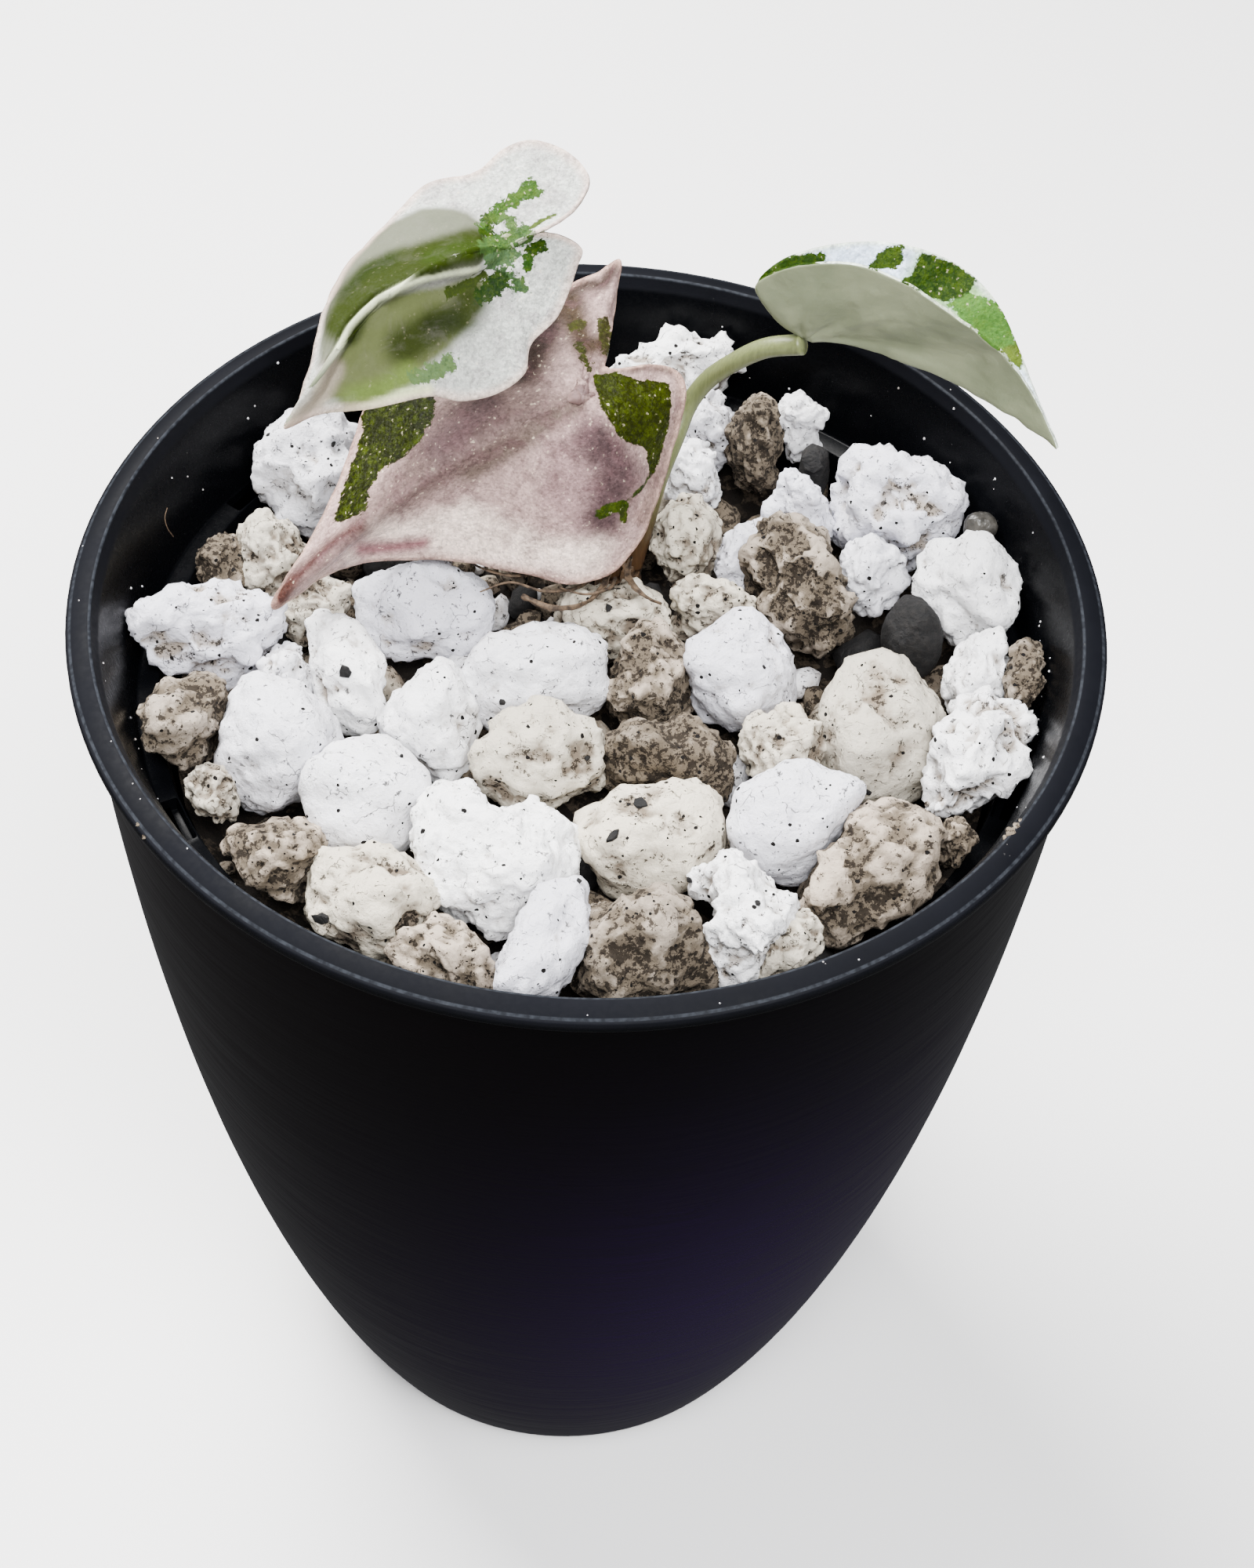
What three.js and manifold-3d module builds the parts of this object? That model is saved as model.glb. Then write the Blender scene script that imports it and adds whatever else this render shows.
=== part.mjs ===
// Potted alocasia cuprea: a plantlet of three variegated leaves, standing in coarse perlite in a
// liner pot that hangs in the mouth of a black egg-shaped outer pot.
// Millimetres, +Z up. The origin is at the middle of the outer pot's foot, on the surface that it
// stands on. -Y is the front, and the leaves' tips point to the left and to the right, along X.

import * as THREE from 'three';
import { mergeVertices } from 'three/addons/utils/BufferGeometryUtils.js';
import Module from 'manifold-3d';

const wasm = await Module();
wasm.setup();

// Driving dimensions of the pots
const CLEARANCE = 0.3;
const EDGE = 0.5;
const ROUND_STEPS = 56;
const BELLY = { radius: 59, middleHeight: 169, halfHeight: 203 };
const OUTER_POT = { top: 134.6, wall: 1.4, footInner: 23, footOuter: 29.5, recess: 0.8, floor: 3 };
const RIM = { radius: 60, innerRadius: 57, top: 138.4, edge: 137.4, underside: 136, neck: 57.6 };
const FUNNEL = { bow: 0.7, flare: 5 };
const LEDGE = { outer: 53, inner: 50.4, height: 124.6, thickness: 1.4 };
const BASKET = { floorRadius: 38, floorHeight: 38, middleHeight: 80, wall: 1.4 };
const SLOT = { length: 6.5, width: 2.2, depth: 4, angles: [-152, -18, 30, 146] };
const DRAIN = { holes: 8, radius: 3, circle: 24, depth: 4 };

// Driving dimensions of the planting
const BED = { play: 0.4, top: 118.2, dip: 2.7, lumpHeight: 1.8, lumpRadius: 6, lumps: 90 };
const BED_STEPS = { round: 36, rings: 11 };
const CHUNK_FLOOR = 118.8;
const STEM = { x: 3.5, y: 20.5, radius: 3.3, bottom: 108, top: 124, socketPlay: 1 };
const PETIOLE_RADIUS = 1.15;
const BLADE = { thickness: 0.7, raysPerPoint: 2, rings: 3 };

const FINISH = {
  outerPot: { color: 0x0b0b0d, roughness: 0.38 },
  liner: { color: 0x141519, roughness: 0.3 },
  bed: { color: 0x6d6459, roughness: 0.95 },
  stem: { color: 0xb08a5a, roughness: 0.7 },
  sheath: { color: 0x9a6b3c, roughness: 0.8 },
  whiteLeaf: { color: 0xdfe2d8, roughness: 0.4 },
  pinkLeaf: { color: 0xc9a9ab, roughness: 0.4 },
  greenLeaf: { color: 0xb9c4a4, roughness: 0.4 },
  white: { color: 0xe9eaea, roughness: 0.9 },
  cream: { color: 0xd9d0c0, roughness: 0.9 },
  stained: { color: 0x9c8b76, roughness: 0.95 },
  charcoal: { color: 0x17171a, roughness: 0.8 },
};

const group = new THREE.Group();

function addPiece(name, geometry, finish) {
  const material = new THREE.MeshStandardMaterial({ ...FINISH[finish], metalness: 0 });
  const mesh = new THREE.Mesh(geometry, material);
  mesh.name = name;
  group.add(mesh);
}

// Solids and geometries

function closed(geometry) {
  const bare = geometry.clone();
  bare.deleteAttribute('normal');
  bare.deleteAttribute('uv');
  return mergeVertices(bare, 1e-4);
}

function toSolid(geometry) {
  const merged = closed(geometry);
  const mesh = new wasm.Mesh({
    numProp: 3,
    vertProperties: new Float32Array(merged.attributes.position.array),
    triVerts: new Uint32Array(merged.index.array),
  });
  return new wasm.Manifold(mesh);
}

function toGeometry(solid) {
  const mesh = solid.getMesh();
  const geometry = new THREE.BufferGeometry();
  geometry.setAttribute('position', new THREE.BufferAttribute(mesh.vertProperties, 3));
  geometry.setIndex(new THREE.BufferAttribute(mesh.triVerts, 1));
  return geometry;
}

// A turned shape: the profile's points are [radius, height], from the axis up and back to it,
// or round a closed ring.
function turned(profile, steps = ROUND_STEPS) {
  const points = profile.map(([radius, height]) => new THREE.Vector2(radius, height));
  return new THREE.LatheGeometry(points, steps).rotateX(Math.PI / 2);
}

function seededRandom(seed) {
  let state = seed;
  return () => {
    state = (state * 1664525 + 1013904223) % 4294967296;
    return state / 4294967296;
  };
}

// The outer pot's wall follows a quarter of a tall ellipse.
function bellyRadius(height) {
  const reach = (BELLY.middleHeight - height) / BELLY.halfHeight;
  return BELLY.radius * Math.sqrt(1 - reach * reach);
}

function outerPot() {
  const { top, wall, footInner, footOuter, recess, floor } = OUTER_POT;
  const heights = [14, 27, 43, 62, 85, 112];
  const outside = [1, 4, ...heights].map((height) => [bellyRadius(height), height]);
  const inside = heights.toReversed().map((height) => [bellyRadius(height) - wall, height]);
  const mouth = bellyRadius(top);
  const profile = [
    [0, recess],
    [footInner, recess],
    [footInner + recess, 0],
    [footOuter, 0],
    ...outside,
    [mouth, top - EDGE],
    [mouth - EDGE, top],
    [mouth - wall + EDGE, top],
    [mouth - wall, top - EDGE],
    ...inside,
    [bellyRadius(floor) - 2 * wall, floor],
    [0, floor],
  ];
  return turned(profile);
}

// The liner's inner radius, from the rim down to the ledge, and down its basket below that.
function linerRadius(height) {
  if (height > LEDGE.height) {
    const rise = (height - LEDGE.height) / (RIM.top - LEDGE.height);
    const straight = LEDGE.outer + rise * (RIM.innerRadius - LEDGE.outer);
    return straight - FUNNEL.bow * Math.sin(Math.PI * rise);
  }
  const { floorRadius, floorHeight } = BASKET;
  const rise = (height - floorHeight) / (LEDGE.height - floorHeight);
  return floorRadius + rise * (LEDGE.inner - floorRadius);
}

function liner() {
  const { floorRadius, floorHeight, middleHeight, wall } = BASKET;
  const neckHeight = OUTER_POT.top + CLEARANCE;
  const flareHeight = neckHeight - FUNNEL.flare;
  const skin = bellyRadius(OUTER_POT.top) - OUTER_POT.wall - CLEARANCE;
  const ledgeUnder = LEDGE.height - LEDGE.thickness;
  const profile = [
    [0, floorHeight - wall],
    [floorRadius, floorHeight - wall],
    [floorRadius + wall, floorHeight],
    [linerRadius(middleHeight) + wall, middleHeight],
    [linerRadius(ledgeUnder) + wall, ledgeUnder],
    [LEDGE.outer + wall, ledgeUnder],
    [linerRadius(flareHeight) + wall, flareHeight],
    [skin, neckHeight - EDGE],
    [skin, neckHeight],
    [RIM.neck, neckHeight],
    [RIM.neck, RIM.underside],
    [RIM.radius - EDGE, RIM.underside],
    [RIM.radius, RIM.underside + EDGE],
    [RIM.radius, RIM.edge],
    [RIM.radius - EDGE, RIM.edge + EDGE],
    [RIM.innerRadius + EDGE, RIM.top],
    [RIM.innerRadius, RIM.top],
    [linerRadius(RIM.top - EDGE), RIM.top - EDGE],
    [linerRadius(134), 134],
    [linerRadius(129), 129],
    [LEDGE.outer, LEDGE.height],
    [LEDGE.inner, LEDGE.height],
    [linerRadius(middleHeight), middleHeight],
    [floorRadius, floorHeight],
    [0, floorHeight],
  ];
  let solid = toSolid(turned(profile));
  for (const angle of SLOT.angles) {
    const slot = new THREE.BoxGeometry(SLOT.width, SLOT.length, SLOT.depth);
    slot.translate((LEDGE.inner + LEDGE.outer) / 2, 0, LEDGE.height);
    slot.rotateZ(THREE.MathUtils.degToRad(angle));
    solid = solid.subtract(toSolid(slot));
  }
  for (let hole = 0; hole < DRAIN.holes; hole += 1) {
    const drain = new THREE.CylinderGeometry(DRAIN.radius, DRAIN.radius, DRAIN.depth, 16);
    drain.rotateX(Math.PI / 2).translate(DRAIN.circle, 0, floorHeight);
    drain.rotateZ((hole * 2 * Math.PI) / DRAIN.holes);
    solid = solid.subtract(toSolid(drain));
  }
  return toGeometry(solid);
}

// The bed of perlite that fills the basket. Its top is pebbled: each point takes the height of
// the highest of the small domes around it. The stem base stands in a plain hole.
function perliteBed() {
  const random = seededRandom(11);
  const domes = Array.from({ length: BED.lumps }, () => {
    const distance = LEDGE.inner * Math.sqrt(random());
    const angle = 2 * Math.PI * random();
    return {
      x: distance * Math.cos(angle),
      y: distance * Math.sin(angle),
      size: 0.6 + 0.6 * random(),
    };
  });
  const lumpAt = (x, y) => domes.reduce((highest, dome) => {
    const near = Math.hypot(x - dome.x, y - dome.y) / (dome.size * BED.lumpRadius);
    return Math.max(highest, near < 1 ? Math.sqrt(1 - near * near) * dome.size : 0);
  }, 0);
  const wallRadius = (height) => linerRadius(height) - BED.play;
  const bottom = BASKET.floorHeight + BED.play;
  const topRadius = wallRadius(BED.top);
  const { middleHeight } = BASKET;
  const profile = [[0, bottom], [wallRadius(bottom), bottom], [wallRadius(middleHeight), middleHeight]];
  for (let ring = BED_STEPS.rings; ring >= 0; ring -= 1) {
    profile.push([(topRadius * ring) / BED_STEPS.rings, BED.top]);
  }
  const geometry = turned(profile, BED_STEPS.round);
  const position = geometry.attributes.position;
  for (let i = 0; i < position.count; i += 1) {
    const x = position.getX(i);
    const y = position.getY(i);
    if (position.getZ(i) > middleHeight + 1 && Math.hypot(x, y) < topRadius - 1) {
      position.setZ(i, BED.top - BED.dip + BED.lumpHeight * lumpAt(x, y));
    }
  }
  const socketRadius = STEM.radius + STEM.socketPlay;
  const socketDepth = BED.top - STEM.bottom + STEM.socketPlay;
  const socket = new THREE.CylinderGeometry(socketRadius, socketRadius, 2 * socketDepth, 20);
  socket.rotateX(Math.PI / 2).translate(STEM.x, STEM.y, BED.top);
  return toGeometry(toSolid(geometry).subtract(toSolid(socket)));
}

// A round stalk along a curve through hand-placed points.
function stalk(points, radius, steps = 14) {
  const path = new THREE.CatmullRomCurve3(points.map((point) => new THREE.Vector3(...point)));
  const section = new THREE.Shape().absarc(0, 0, radius, 0, 2 * Math.PI, false);
  const options = { extrudePath: path, steps, bevelEnabled: false, curveSegments: 4 };
  return new THREE.ExtrudeGeometry(section, options);
}

// A blade is a fan of rays from its hub, where the stalk joins it, out to its margin. Each margin
// point is [x, y, z, lift]: lift raises the middle of its ray along the blade's up direction. Each
// triangle of the fan is made a plate as thick as the blade, and the plates are joined, so that
// the blade doesn't cross itself where it folds.
function blade({ hub, up, margin }) {
  const { raysPerPoint, rings, thickness } = BLADE;
  const rays = margin.length * raysPerPoint;
  const centre = new THREE.Vector3(...hub);
  const raised = new THREE.Vector3(...up).normalize();
  const ends = margin.map(([x, y, z]) => new THREE.Vector3(x, y, z));
  const middles = margin.map(([, , , lift], i) => (
    centre.clone().lerp(ends[i], 0.5).addScaledVector(raised, lift)));
  const endLoop = new THREE.CatmullRomCurve3(ends, true);
  const middleLoop = new THREE.CatmullRomCurve3(middles, true);
  const surface = [centre.clone()];
  for (let ring = 1; ring <= rings; ring += 1) {
    const reach = ring / rings;
    for (let ray = 0; ray < rays; ray += 1) {
      const end = endLoop.getPoint(ray / rays);
      const middle = middleLoop.getPoint(ray / rays);
      const point = centre.clone().multiplyScalar((1 - reach) * (1 - 2 * reach));
      point.addScaledVector(middle, 4 * reach * (1 - reach));
      point.addScaledVector(end, reach * (2 * reach - 1));
      surface.push(point);
    }
  }
  const at = (ring, ray) => (ring === 0 ? 0 : 1 + (ring - 1) * rays + (ray % rays));
  const faces = [];
  for (let ring = 0; ring < rings; ring += 1) {
    for (let ray = 0; ray < rays; ray += 1) {
      faces.push([at(ring, ray), at(ring + 1, ray), at(ring + 1, ray + 1)]);
      if (ring > 0) {
        faces.push([at(ring, ray), at(ring + 1, ray + 1), at(ring, ray + 1)]);
      }
    }
  }
  const sheet = new THREE.BufferGeometry().setFromPoints(surface);
  sheet.setIndex(faces.flat());
  sheet.computeVertexNormals();
  const normals = sheet.attributes.normal;
  const offset = (i, side) => surface[i].clone()
    .addScaledVector(new THREE.Vector3().fromBufferAttribute(normals, i), side).toArray();
  const plates = faces.map((face) => wasm.Manifold.hull(
    face.flatMap((i) => [offset(i, thickness / 2), offset(i, -thickness / 2)])));
  return wasm.Manifold.union(plates);
}

const LEAVES = {
  leaf_upper: {
    finish: 'whiteLeaf',
    hub: [-11, 28.5, 166],
    up: [0, 0.35, 0.94],
    margin: [
      [-8, 29, 168, 0], [-5, 30.5, 169, 0], [-2.5, 33, 170, 0], [-2, 35.5, 171, 0],
      [-5, 39, 172, 0], [-9, 40, 172.5, 0], [-12, 39.5, 171.5, 0], [-15, 37, 170, 0.5],
      [-20.5, 36, 168.5, 1], [-24.5, 31.5, 167, 1.5], [-29, 25.5, 165, 2], [-31.5, 18.5, 163, 3],
      [-32.5, 13, 160.5, 4], [-33.5, 9, 158.5, 5], [-35, 6.5, 157, 5.8], [-31.5, 9, 157, 5],
      [-25.5, 12, 155.5, 3], [-19, 15, 155, 1.5], [-15.5, 15.5, 154, 1], [-11.5, 16.5, 154.5, 0.5],
      [-8.5, 18.5, 156, 0], [-8, 21.5, 157.5, 0], [-5, 24.5, 159.5, 0], [-3, 29.5, 163, 0],
      [-2.5, 30.5, 164.5, 0], [-4, 30.5, 166, 0], [-7, 29.5, 167.5, 0],
    ],
    petiole: [
      [2.6, 22, 123], [-2, 31, 131], [-8, 40, 142], [-12, 43, 152], [-12.5, 38, 161],
      [-11, 29.2, 165.9],
    ],
  },
  leaf_front: {
    finish: 'pinkLeaf',
    hub: [-2, 20, 151.5],
    up: [0.25, -0.15, 0.95],
    margin: [
      [0.5, 24.5, 152, 0], [1, 28, 152.5, 0.5], [1.5, 34, 153.5, 0.5], [2, 38, 157, 0],
      [-1, 38, 154.5, 0.5], [-4, 37.5, 153, 1], [-8, 36, 151.5, 1], [-12, 35.5, 150, 1.5],
      [-16.5, 35, 148.5, 1.5], [-21, 32.5, 147, 2], [-24.5, 28.5, 145.5, 2.5],
      [-27.5, 25, 143.5, 3], [-30.5, 15, 139.5, 4], [-34, 7.5, 136, 5], [-37, 1, 133.5, 6],
      [-32, 6.5, 133, 5.5], [-27.5, 9.5, 133, 5], [-20.5, 10.5, 133, 4.5], [-13.5, 10, 133, 4],
      [-7, 8.5, 133, 4], [-2, 7.5, 133, 4], [2.5, 9, 133.5, 4], [5.5, 12, 136, 3.5],
      [8, 17.5, 140, 3], [9.5, 21.5, 144, 2], [10.5, 26, 148, 1], [9.5, 27.5, 149, 0.5],
      [6.5, 26.5, 151, 0], [3, 24.5, 152, 0],
    ],
    petiole: [[2.6, 19, 123], [2, 20, 133], [0, 20, 144], [-2, 20, 151.2]],
  },
  leaf_right: {
    finish: 'greenLeaf',
    hub: [23.5, 24.5, 158],
    up: [0, 0.6, 0.8],
    margin: [
      [22, 25.5, 159, 0], [20, 25.5, 161, -0.5], [17.5, 24.5, 165.5, -1], [19, 24, 167.5, -1.5],
      [21, 23.5, 169, -1.5], [25.5, 23, 170.5, -1.5], [30, 22.5, 170.5, -1],
      [34.5, 21, 169.5, 0], [39, 20, 167, 0.5], [44, 19.5, 163, 1], [48.5, 19.5, 158, 1.5],
      [51.5, 18.5, 153.5, 2], [54, 17.5, 149, 2.2], [51, 22.5, 153, 1.8], [49, 26, 156, 1],
      [46.5, 29, 159.5, 0.5], [42.5, 32, 162.5, -0.5], [37.5, 33, 164.5, -1],
      [30.5, 33, 165.5, -1.5], [23.5, 31, 165.5, -1.5], [19.5, 28.5, 165, -1],
      [18, 28, 163, -0.5], [20, 27.5, 160.5, 0],
    ],
    petiole: [
      [5.2, 20.5, 123], [6.5, 22, 129], [8, 24, 135.5], [9.5, 26, 139.5], [11, 28.5, 143],
      [13, 28.5, 147], [16, 27, 151.5], [19.5, 25.5, 155.2], [23.5, 24, 157.3],
    ],
  },
};

// A leaf is its blade and its petiole, grown together; scraps of the join are dropped.
function leaf({ petiole, ...outline }) {
  const joined = blade(outline).add(toSolid(stalk(petiole, PETIOLE_RADIUS)));
  const bodies = joined.decompose().sort((a, b) => b.volume() - a.volume());
  return toGeometry(bodies[0]);
}

// The short rootstock that all three stalks rise from, with a plain hole for each of them.
function stemBase() {
  const { x, y, radius, bottom, top } = STEM;
  const profile = [
    [0, bottom], [radius - 1.2, bottom + 0.6], [radius, bottom + 4], [radius - 0.3, top - 6],
    [radius - 0.6, top - 1.5], [radius - 1.2, top], [0, top + 0.2],
  ];
  let solid = toSolid(turned(profile, 16).translate(x, y, 0));
  for (const { petiole } of Object.values(LEAVES)) {
    const [foot] = petiole;
    const below = [foot[0], foot[1], foot[2] - CLEARANCE];
    solid = solid.subtract(toSolid(stalk([below, ...petiole.slice(1)], PETIOLE_RADIUS + CLEARANCE)));
  }
  return toGeometry(solid);
}

// A curled scrap of dry leaf sheath, left at the foot of the stalks.
const SHEATH = {
  width: 2.6,
  thickness: 0.6,
  path: [[-1, 13.5, 131], [-4.5, 12, 129.8], [-8, 12.5, 129.4], [-11, 14, 130.4], [-12.5, 16.5, 132]],
};

function drySheath() {
  const { width, thickness, path } = SHEATH;
  const curve = new THREE.CatmullRomCurve3(path.map((point) => new THREE.Vector3(...point)));
  const section = new THREE.Shape();
  section.moveTo(-thickness / 2, -width / 2).lineTo(thickness / 2, -width / 2);
  section.lineTo(thickness / 2, width / 2).lineTo(-thickness / 2, width / 2).closePath();
  return new THREE.ExtrudeGeometry(section, { extrudePath: curve, steps: 16, bevelEnabled: false });
}

// The coarse pieces of perlite on top, each where it lies: x, y and height of its middle, then
// half its length, width and height, and the turn of its length about Z in degrees. Some have
// bites out of them, each given by its bearing, its slope, both in degrees, and its depth.
const CHUNKS = [
  [-35.5, 29.5, 129.5, 7.3, 6.3, 6.3, 0, 'white'],
  [-39, 16, 127, 3.8, 4.9, 4.9, 0, 'cream'],
  [-44.5, 14.5, 127, 2.6, 2.8, 2.8, 0, 'stained'],
  [-44.5, 2.5, 128.5, 8.5, 5, 4.6, 12, 'white'],
  [-33.5, 10.5, 125, 4.5, 3.6, 3.4, 0, 'cream'],
  [-19.5, 10.5, 124.5, 8.5, 5.7, 5.7, 0, 'white'],
  [-29, -1, 126.5, 8.2, 4, 4, -50, 'white'],
  [-34.5, -1, 125.5, 4.1, 3.2, 3.2, 0, 'white'],
  [-46.5, -12, 128, 6.8, 4.8, 4.6, 50, 'stained'],
  [-35.5, -13.5, 126.5, 7.6, 7.6, 6.6, 0, 'white'],
  [-42, -21, 126.5, 3.4, 3.3, 3.3, 0, 'cream'],
  [-34, -30, 126, 6.1, 5.1, 5.1, -15, 'stained', [[80, 60, 0.25]]],
  [-24.5, -21.5, 126.5, 7.8, 7, 6.4, -15, 'white'],
  [-17.5, -8, 125.5, 6.1, 6.4, 5.6, 0, 'white'],
  [-6, -1, 127, 9.8, 5.4, 4.8, 14, 'white'],
  [-5, -13.5, 126, 7.8, 6, 5.6, 0, 'cream'],
  [-10, -29, 128, 9.4, 8.4, 6.4, 0, 'white', [[75, 35, 0.5]]],
  [-23, -36, 126, 9.2, 5.6, 5.4, -15, 'cream'],
  [-15, -43.5, 126.5, 6.4, 3.4, 3.6, -28, 'stained'],
  [-2, -42, 128.5, 9.6, 4.2, 4.6, 52, 'white'],
  [6, -41.5, 126.5, 9.4, 6.4, 6, 10, 'stained'],
  [8.5, -25, 126, 8.2, 6.9, 6.4, 0, 'cream'],
  [24.5, -24, 128.5, 8.2, 6.2, 5.8, 15, 'white'],
  [18, -37, 129, 7.8, 5.2, 5.6, -60, 'white', [[170, 15, 0.4], [20, 50, 0.3]]],
  [23.5, -40, 127, 4.1, 3.2, 3.2, 30, 'cream'],
  [32.5, -29, 126.5, 9.4, 7, 6.6, 40, 'stained'],
  [42.5, -25.5, 127, 2.4, 3.3, 3.3, 0, 'stained'],
  [34.5, -7.5, 127, 8.6, 8, 7.2, -40, 'cream'],
  [45.5, -13, 129, 8.4, 5.4, 5.6, 62, 'white', [[190, 30, 0.25]]],
  [46.5, 1, 127.5, 4, 4.5, 4.5, 0, 'white'],
  [52, -1.5, 130, 2.8, 4.2, 3.8, 0, 'stained'],
  [18.5, -0.5, 127.5, 6.8, 6.4, 6, -20, 'white'],
  [7.5, -0.5, 125.5, 5.3, 6.3, 5.6, 0, 'stained'],
  [10.5, -13.5, 127, 8.2, 4.6, 4.6, 0, 'stained'],
  [23.5, -11, 127, 5, 4.6, 4.6, 0, 'cream'],
  [25.5, 14, 129, 9, 5.6, 6, -55, 'stained', [[30, 30, 0.3], [215, 30, 0.3]]],
  [46, 13.5, 129, 6.7, 5.8, 5.8, 0, 'white'],
  [37.5, 26, 130, 8, 6.4, 6.4, -20, 'white', [[-150, 60, 0.25]]],
  [34.5, 18, 127, 4.6, 3.6, 3.8, 60, 'white'],
  [25.5, 27.5, 128, 4.1, 3.6, 3.6, 0, 'white'],
  [18.5, 21, 126, 4.8, 2.6, 3.6, 60, 'white'],
  [39, 8, 127.5, 3.6, 3.6, 3.6, 0, 'charcoal'],
  [11, 22, 127.5, 5.1, 5.3, 5, 0, 'cream'],
  [15, 12, 126, 5.1, 3.1, 3.8, 0, 'cream'],
  [3, 9.5, 125.5, 7, 4.2, 4.4, 0, 'cream'],
  [20, 39, 129, 3.8, 4.9, 4.9, 0, 'stained'],
  [25.5, 41, 130, 3.2, 2.6, 2.8, -30, 'white'],
  [27.5, 35.5, 128.5, 1.8, 1.8, 1.8, 0, 'charcoal'],
  [10, 48.5, 131, 8.2, 4.2, 4.4, 20, 'white'],
  [14, 41.5, 128.5, 3.6, 3.5, 3.5, 0, 'white'],
  [12.5, 35, 127, 3.2, 3.4, 3.4, 0, 'white'],
  [47.5, 22, 131, 2.4, 2, 2.2, 0, 'charcoal'],
].map(([x, y, z, length, width, height, turn, finish, bites = []], i) => ({
  name: `perlite_${String(i + 1).padStart(2, '0')}`,
  centre: new THREE.Vector3(x, y, z),
  size: new THREE.Vector3(length, width, height),
  turn: THREE.MathUtils.degToRad(turn),
  finish,
  bites: bites.map(([bearing, slope, depth]) => {
    const down = THREE.MathUtils.degToRad(90 - slope);
    const round = THREE.MathUtils.degToRad(bearing - turn + 90);
    const toward = new THREE.Vector3().setFromSphericalCoords(1, down, round);
    return { toward: new THREE.Vector3(toward.x, -toward.z, toward.y), depth };
  }),
}));

const BIG_CHUNK = 5.5;
const KNOBS = { count: 11, height: 0.38, sharpness: 7, sink: 0.22 };
const BITE_SHARPNESS = 4;
const SLOPE_PLAY = 1;

// How far an ellipsoid chunk reaches from its middle in a direction.
function reachOf({ size, turn }, direction) {
  const local = direction.clone().applyAxisAngle(new THREE.Vector3(0, 0, 1), -turn);
  return local.multiply(size).length();
}

// Planes that a chunk stays behind, so that it keeps clear of its neighbours and the stalks.
function limitsOf(chunk) {
  const limits = [];
  for (const other of CHUNKS) {
    const away = other.centre.clone().sub(chunk.centre);
    const distance = away.length();
    if (other !== chunk && distance > 0) {
      away.normalize();
      const share = reachOf(chunk, away) - reachOf(other, away);
      limits.push({ away, reach: (distance + share - CLEARANCE) / 2 });
    }
  }
  // A slope over the ledge's inner corner, which a chunk at the wall lies across.
  const { x: middleX, y: middleY, z: middleZ } = chunk.centre;
  const distance = Math.hypot(middleX, middleY);
  const over = new THREE.Vector3(middleX / distance, middleY / distance, -1);
  const spare = middleZ - LEDGE.height + LEDGE.inner - distance - CLEARANCE - SLOPE_PLAY;
  limits.push({ away: over.normalize(), reach: spare / Math.SQRT2 });
  const obstacles = [];
  for (let height = CHUNK_FLOOR - STEM.radius; height < STEM.top; height += STEM.radius / 2) {
    obstacles.push({ x: STEM.x, y: STEM.y, z: height, radius: STEM.radius });
  }
  const curves = Object.values(LEAVES).map(({ petiole }) => [petiole, PETIOLE_RADIUS]);
  curves.push([SHEATH.path, SHEATH.width / 2]);
  for (const [points, radius] of curves) {
    const path = new THREE.CatmullRomCurve3(points.map((point) => new THREE.Vector3(...point)));
    for (const { x, y, z } of path.getPoints(40)) {
      obstacles.push({ x, y, z, radius });
    }
  }
  for (const { x, y, z, radius } of obstacles) {
    const away = new THREE.Vector3(x, y, z).sub(chunk.centre);
    const reach = away.length() - radius - 2 * CLEARANCE;
    limits.push({ away: away.normalize(), reach });
  }
  return limits;
}

function insideLiner({ x, y, z }) {
  const height = z < LEDGE.height + CLEARANCE ? Math.min(z, LEDGE.height) : z;
  return Math.hypot(x, y) < linerRadius(height) - BED.play && z > CHUNK_FLOOR;
}

// A lumpy chunk: a ball with knobs on it, stretched to size. It reaches down to the bed, and
// each of its points is drawn in along its ray until it is inside the chunk's limits. Where it
// presses on a neighbour it is flat, as broken grains are.
function chunkGeometry(chunk, seed) {
  const random = seededRandom(seed);
  const randomDirection = () => {
    const z = 2 * random() - 1;
    const angle = 2 * Math.PI * random();
    const flat = Math.sqrt(1 - z * z);
    return new THREE.Vector3(flat * Math.cos(angle), flat * Math.sin(angle), z);
  };
  const knobs = Array.from({ length: KNOBS.count }, randomDirection);
  const detail = chunk.size.x > BIG_CHUNK ? 2 : 1;
  const geometry = closed(new THREE.IcosahedronGeometry(1, detail));
  const position = geometry.attributes.position;
  const limits = limitsOf(chunk);
  const depth = chunk.centre.z - CHUNK_FLOOR;
  for (let i = 0; i < position.count; i += 1) {
    const direction = new THREE.Vector3().fromBufferAttribute(position, i).normalize();
    const swell = knobs.reduce((most, knob) => (
      Math.max(most, Math.max(0, direction.dot(knob)) ** KNOBS.sharpness)), 0);
    const bite = chunk.bites.reduce((deepest, { toward, depth }) => (
      Math.max(deepest, depth * Math.max(0, direction.dot(toward)) ** BITE_SHARPNESS)), 0);
    const out = direction.multiplyScalar(1 + KNOBS.height * (swell - KNOBS.sink) - bite);
    out.multiply(chunk.size);
    if (out.z < 0) {
      out.z *= depth / chunk.size.z;
    }
    out.applyAxisAngle(new THREE.Vector3(0, 0, 1), chunk.turn);
    let scale = limits.reduce((least, { away, reach }) => {
      const along = out.dot(away);
      return along > reach ? Math.min(least, reach / along) : least;
    }, 1);
    const place = () => chunk.centre.clone().addScaledVector(out, scale);
    while (scale > 0.05 && !insideLiner(place())) {
      scale *= 0.96;
    }
    position.setXYZ(i, ...place().toArray());
  }
  return geometry;
}

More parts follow.
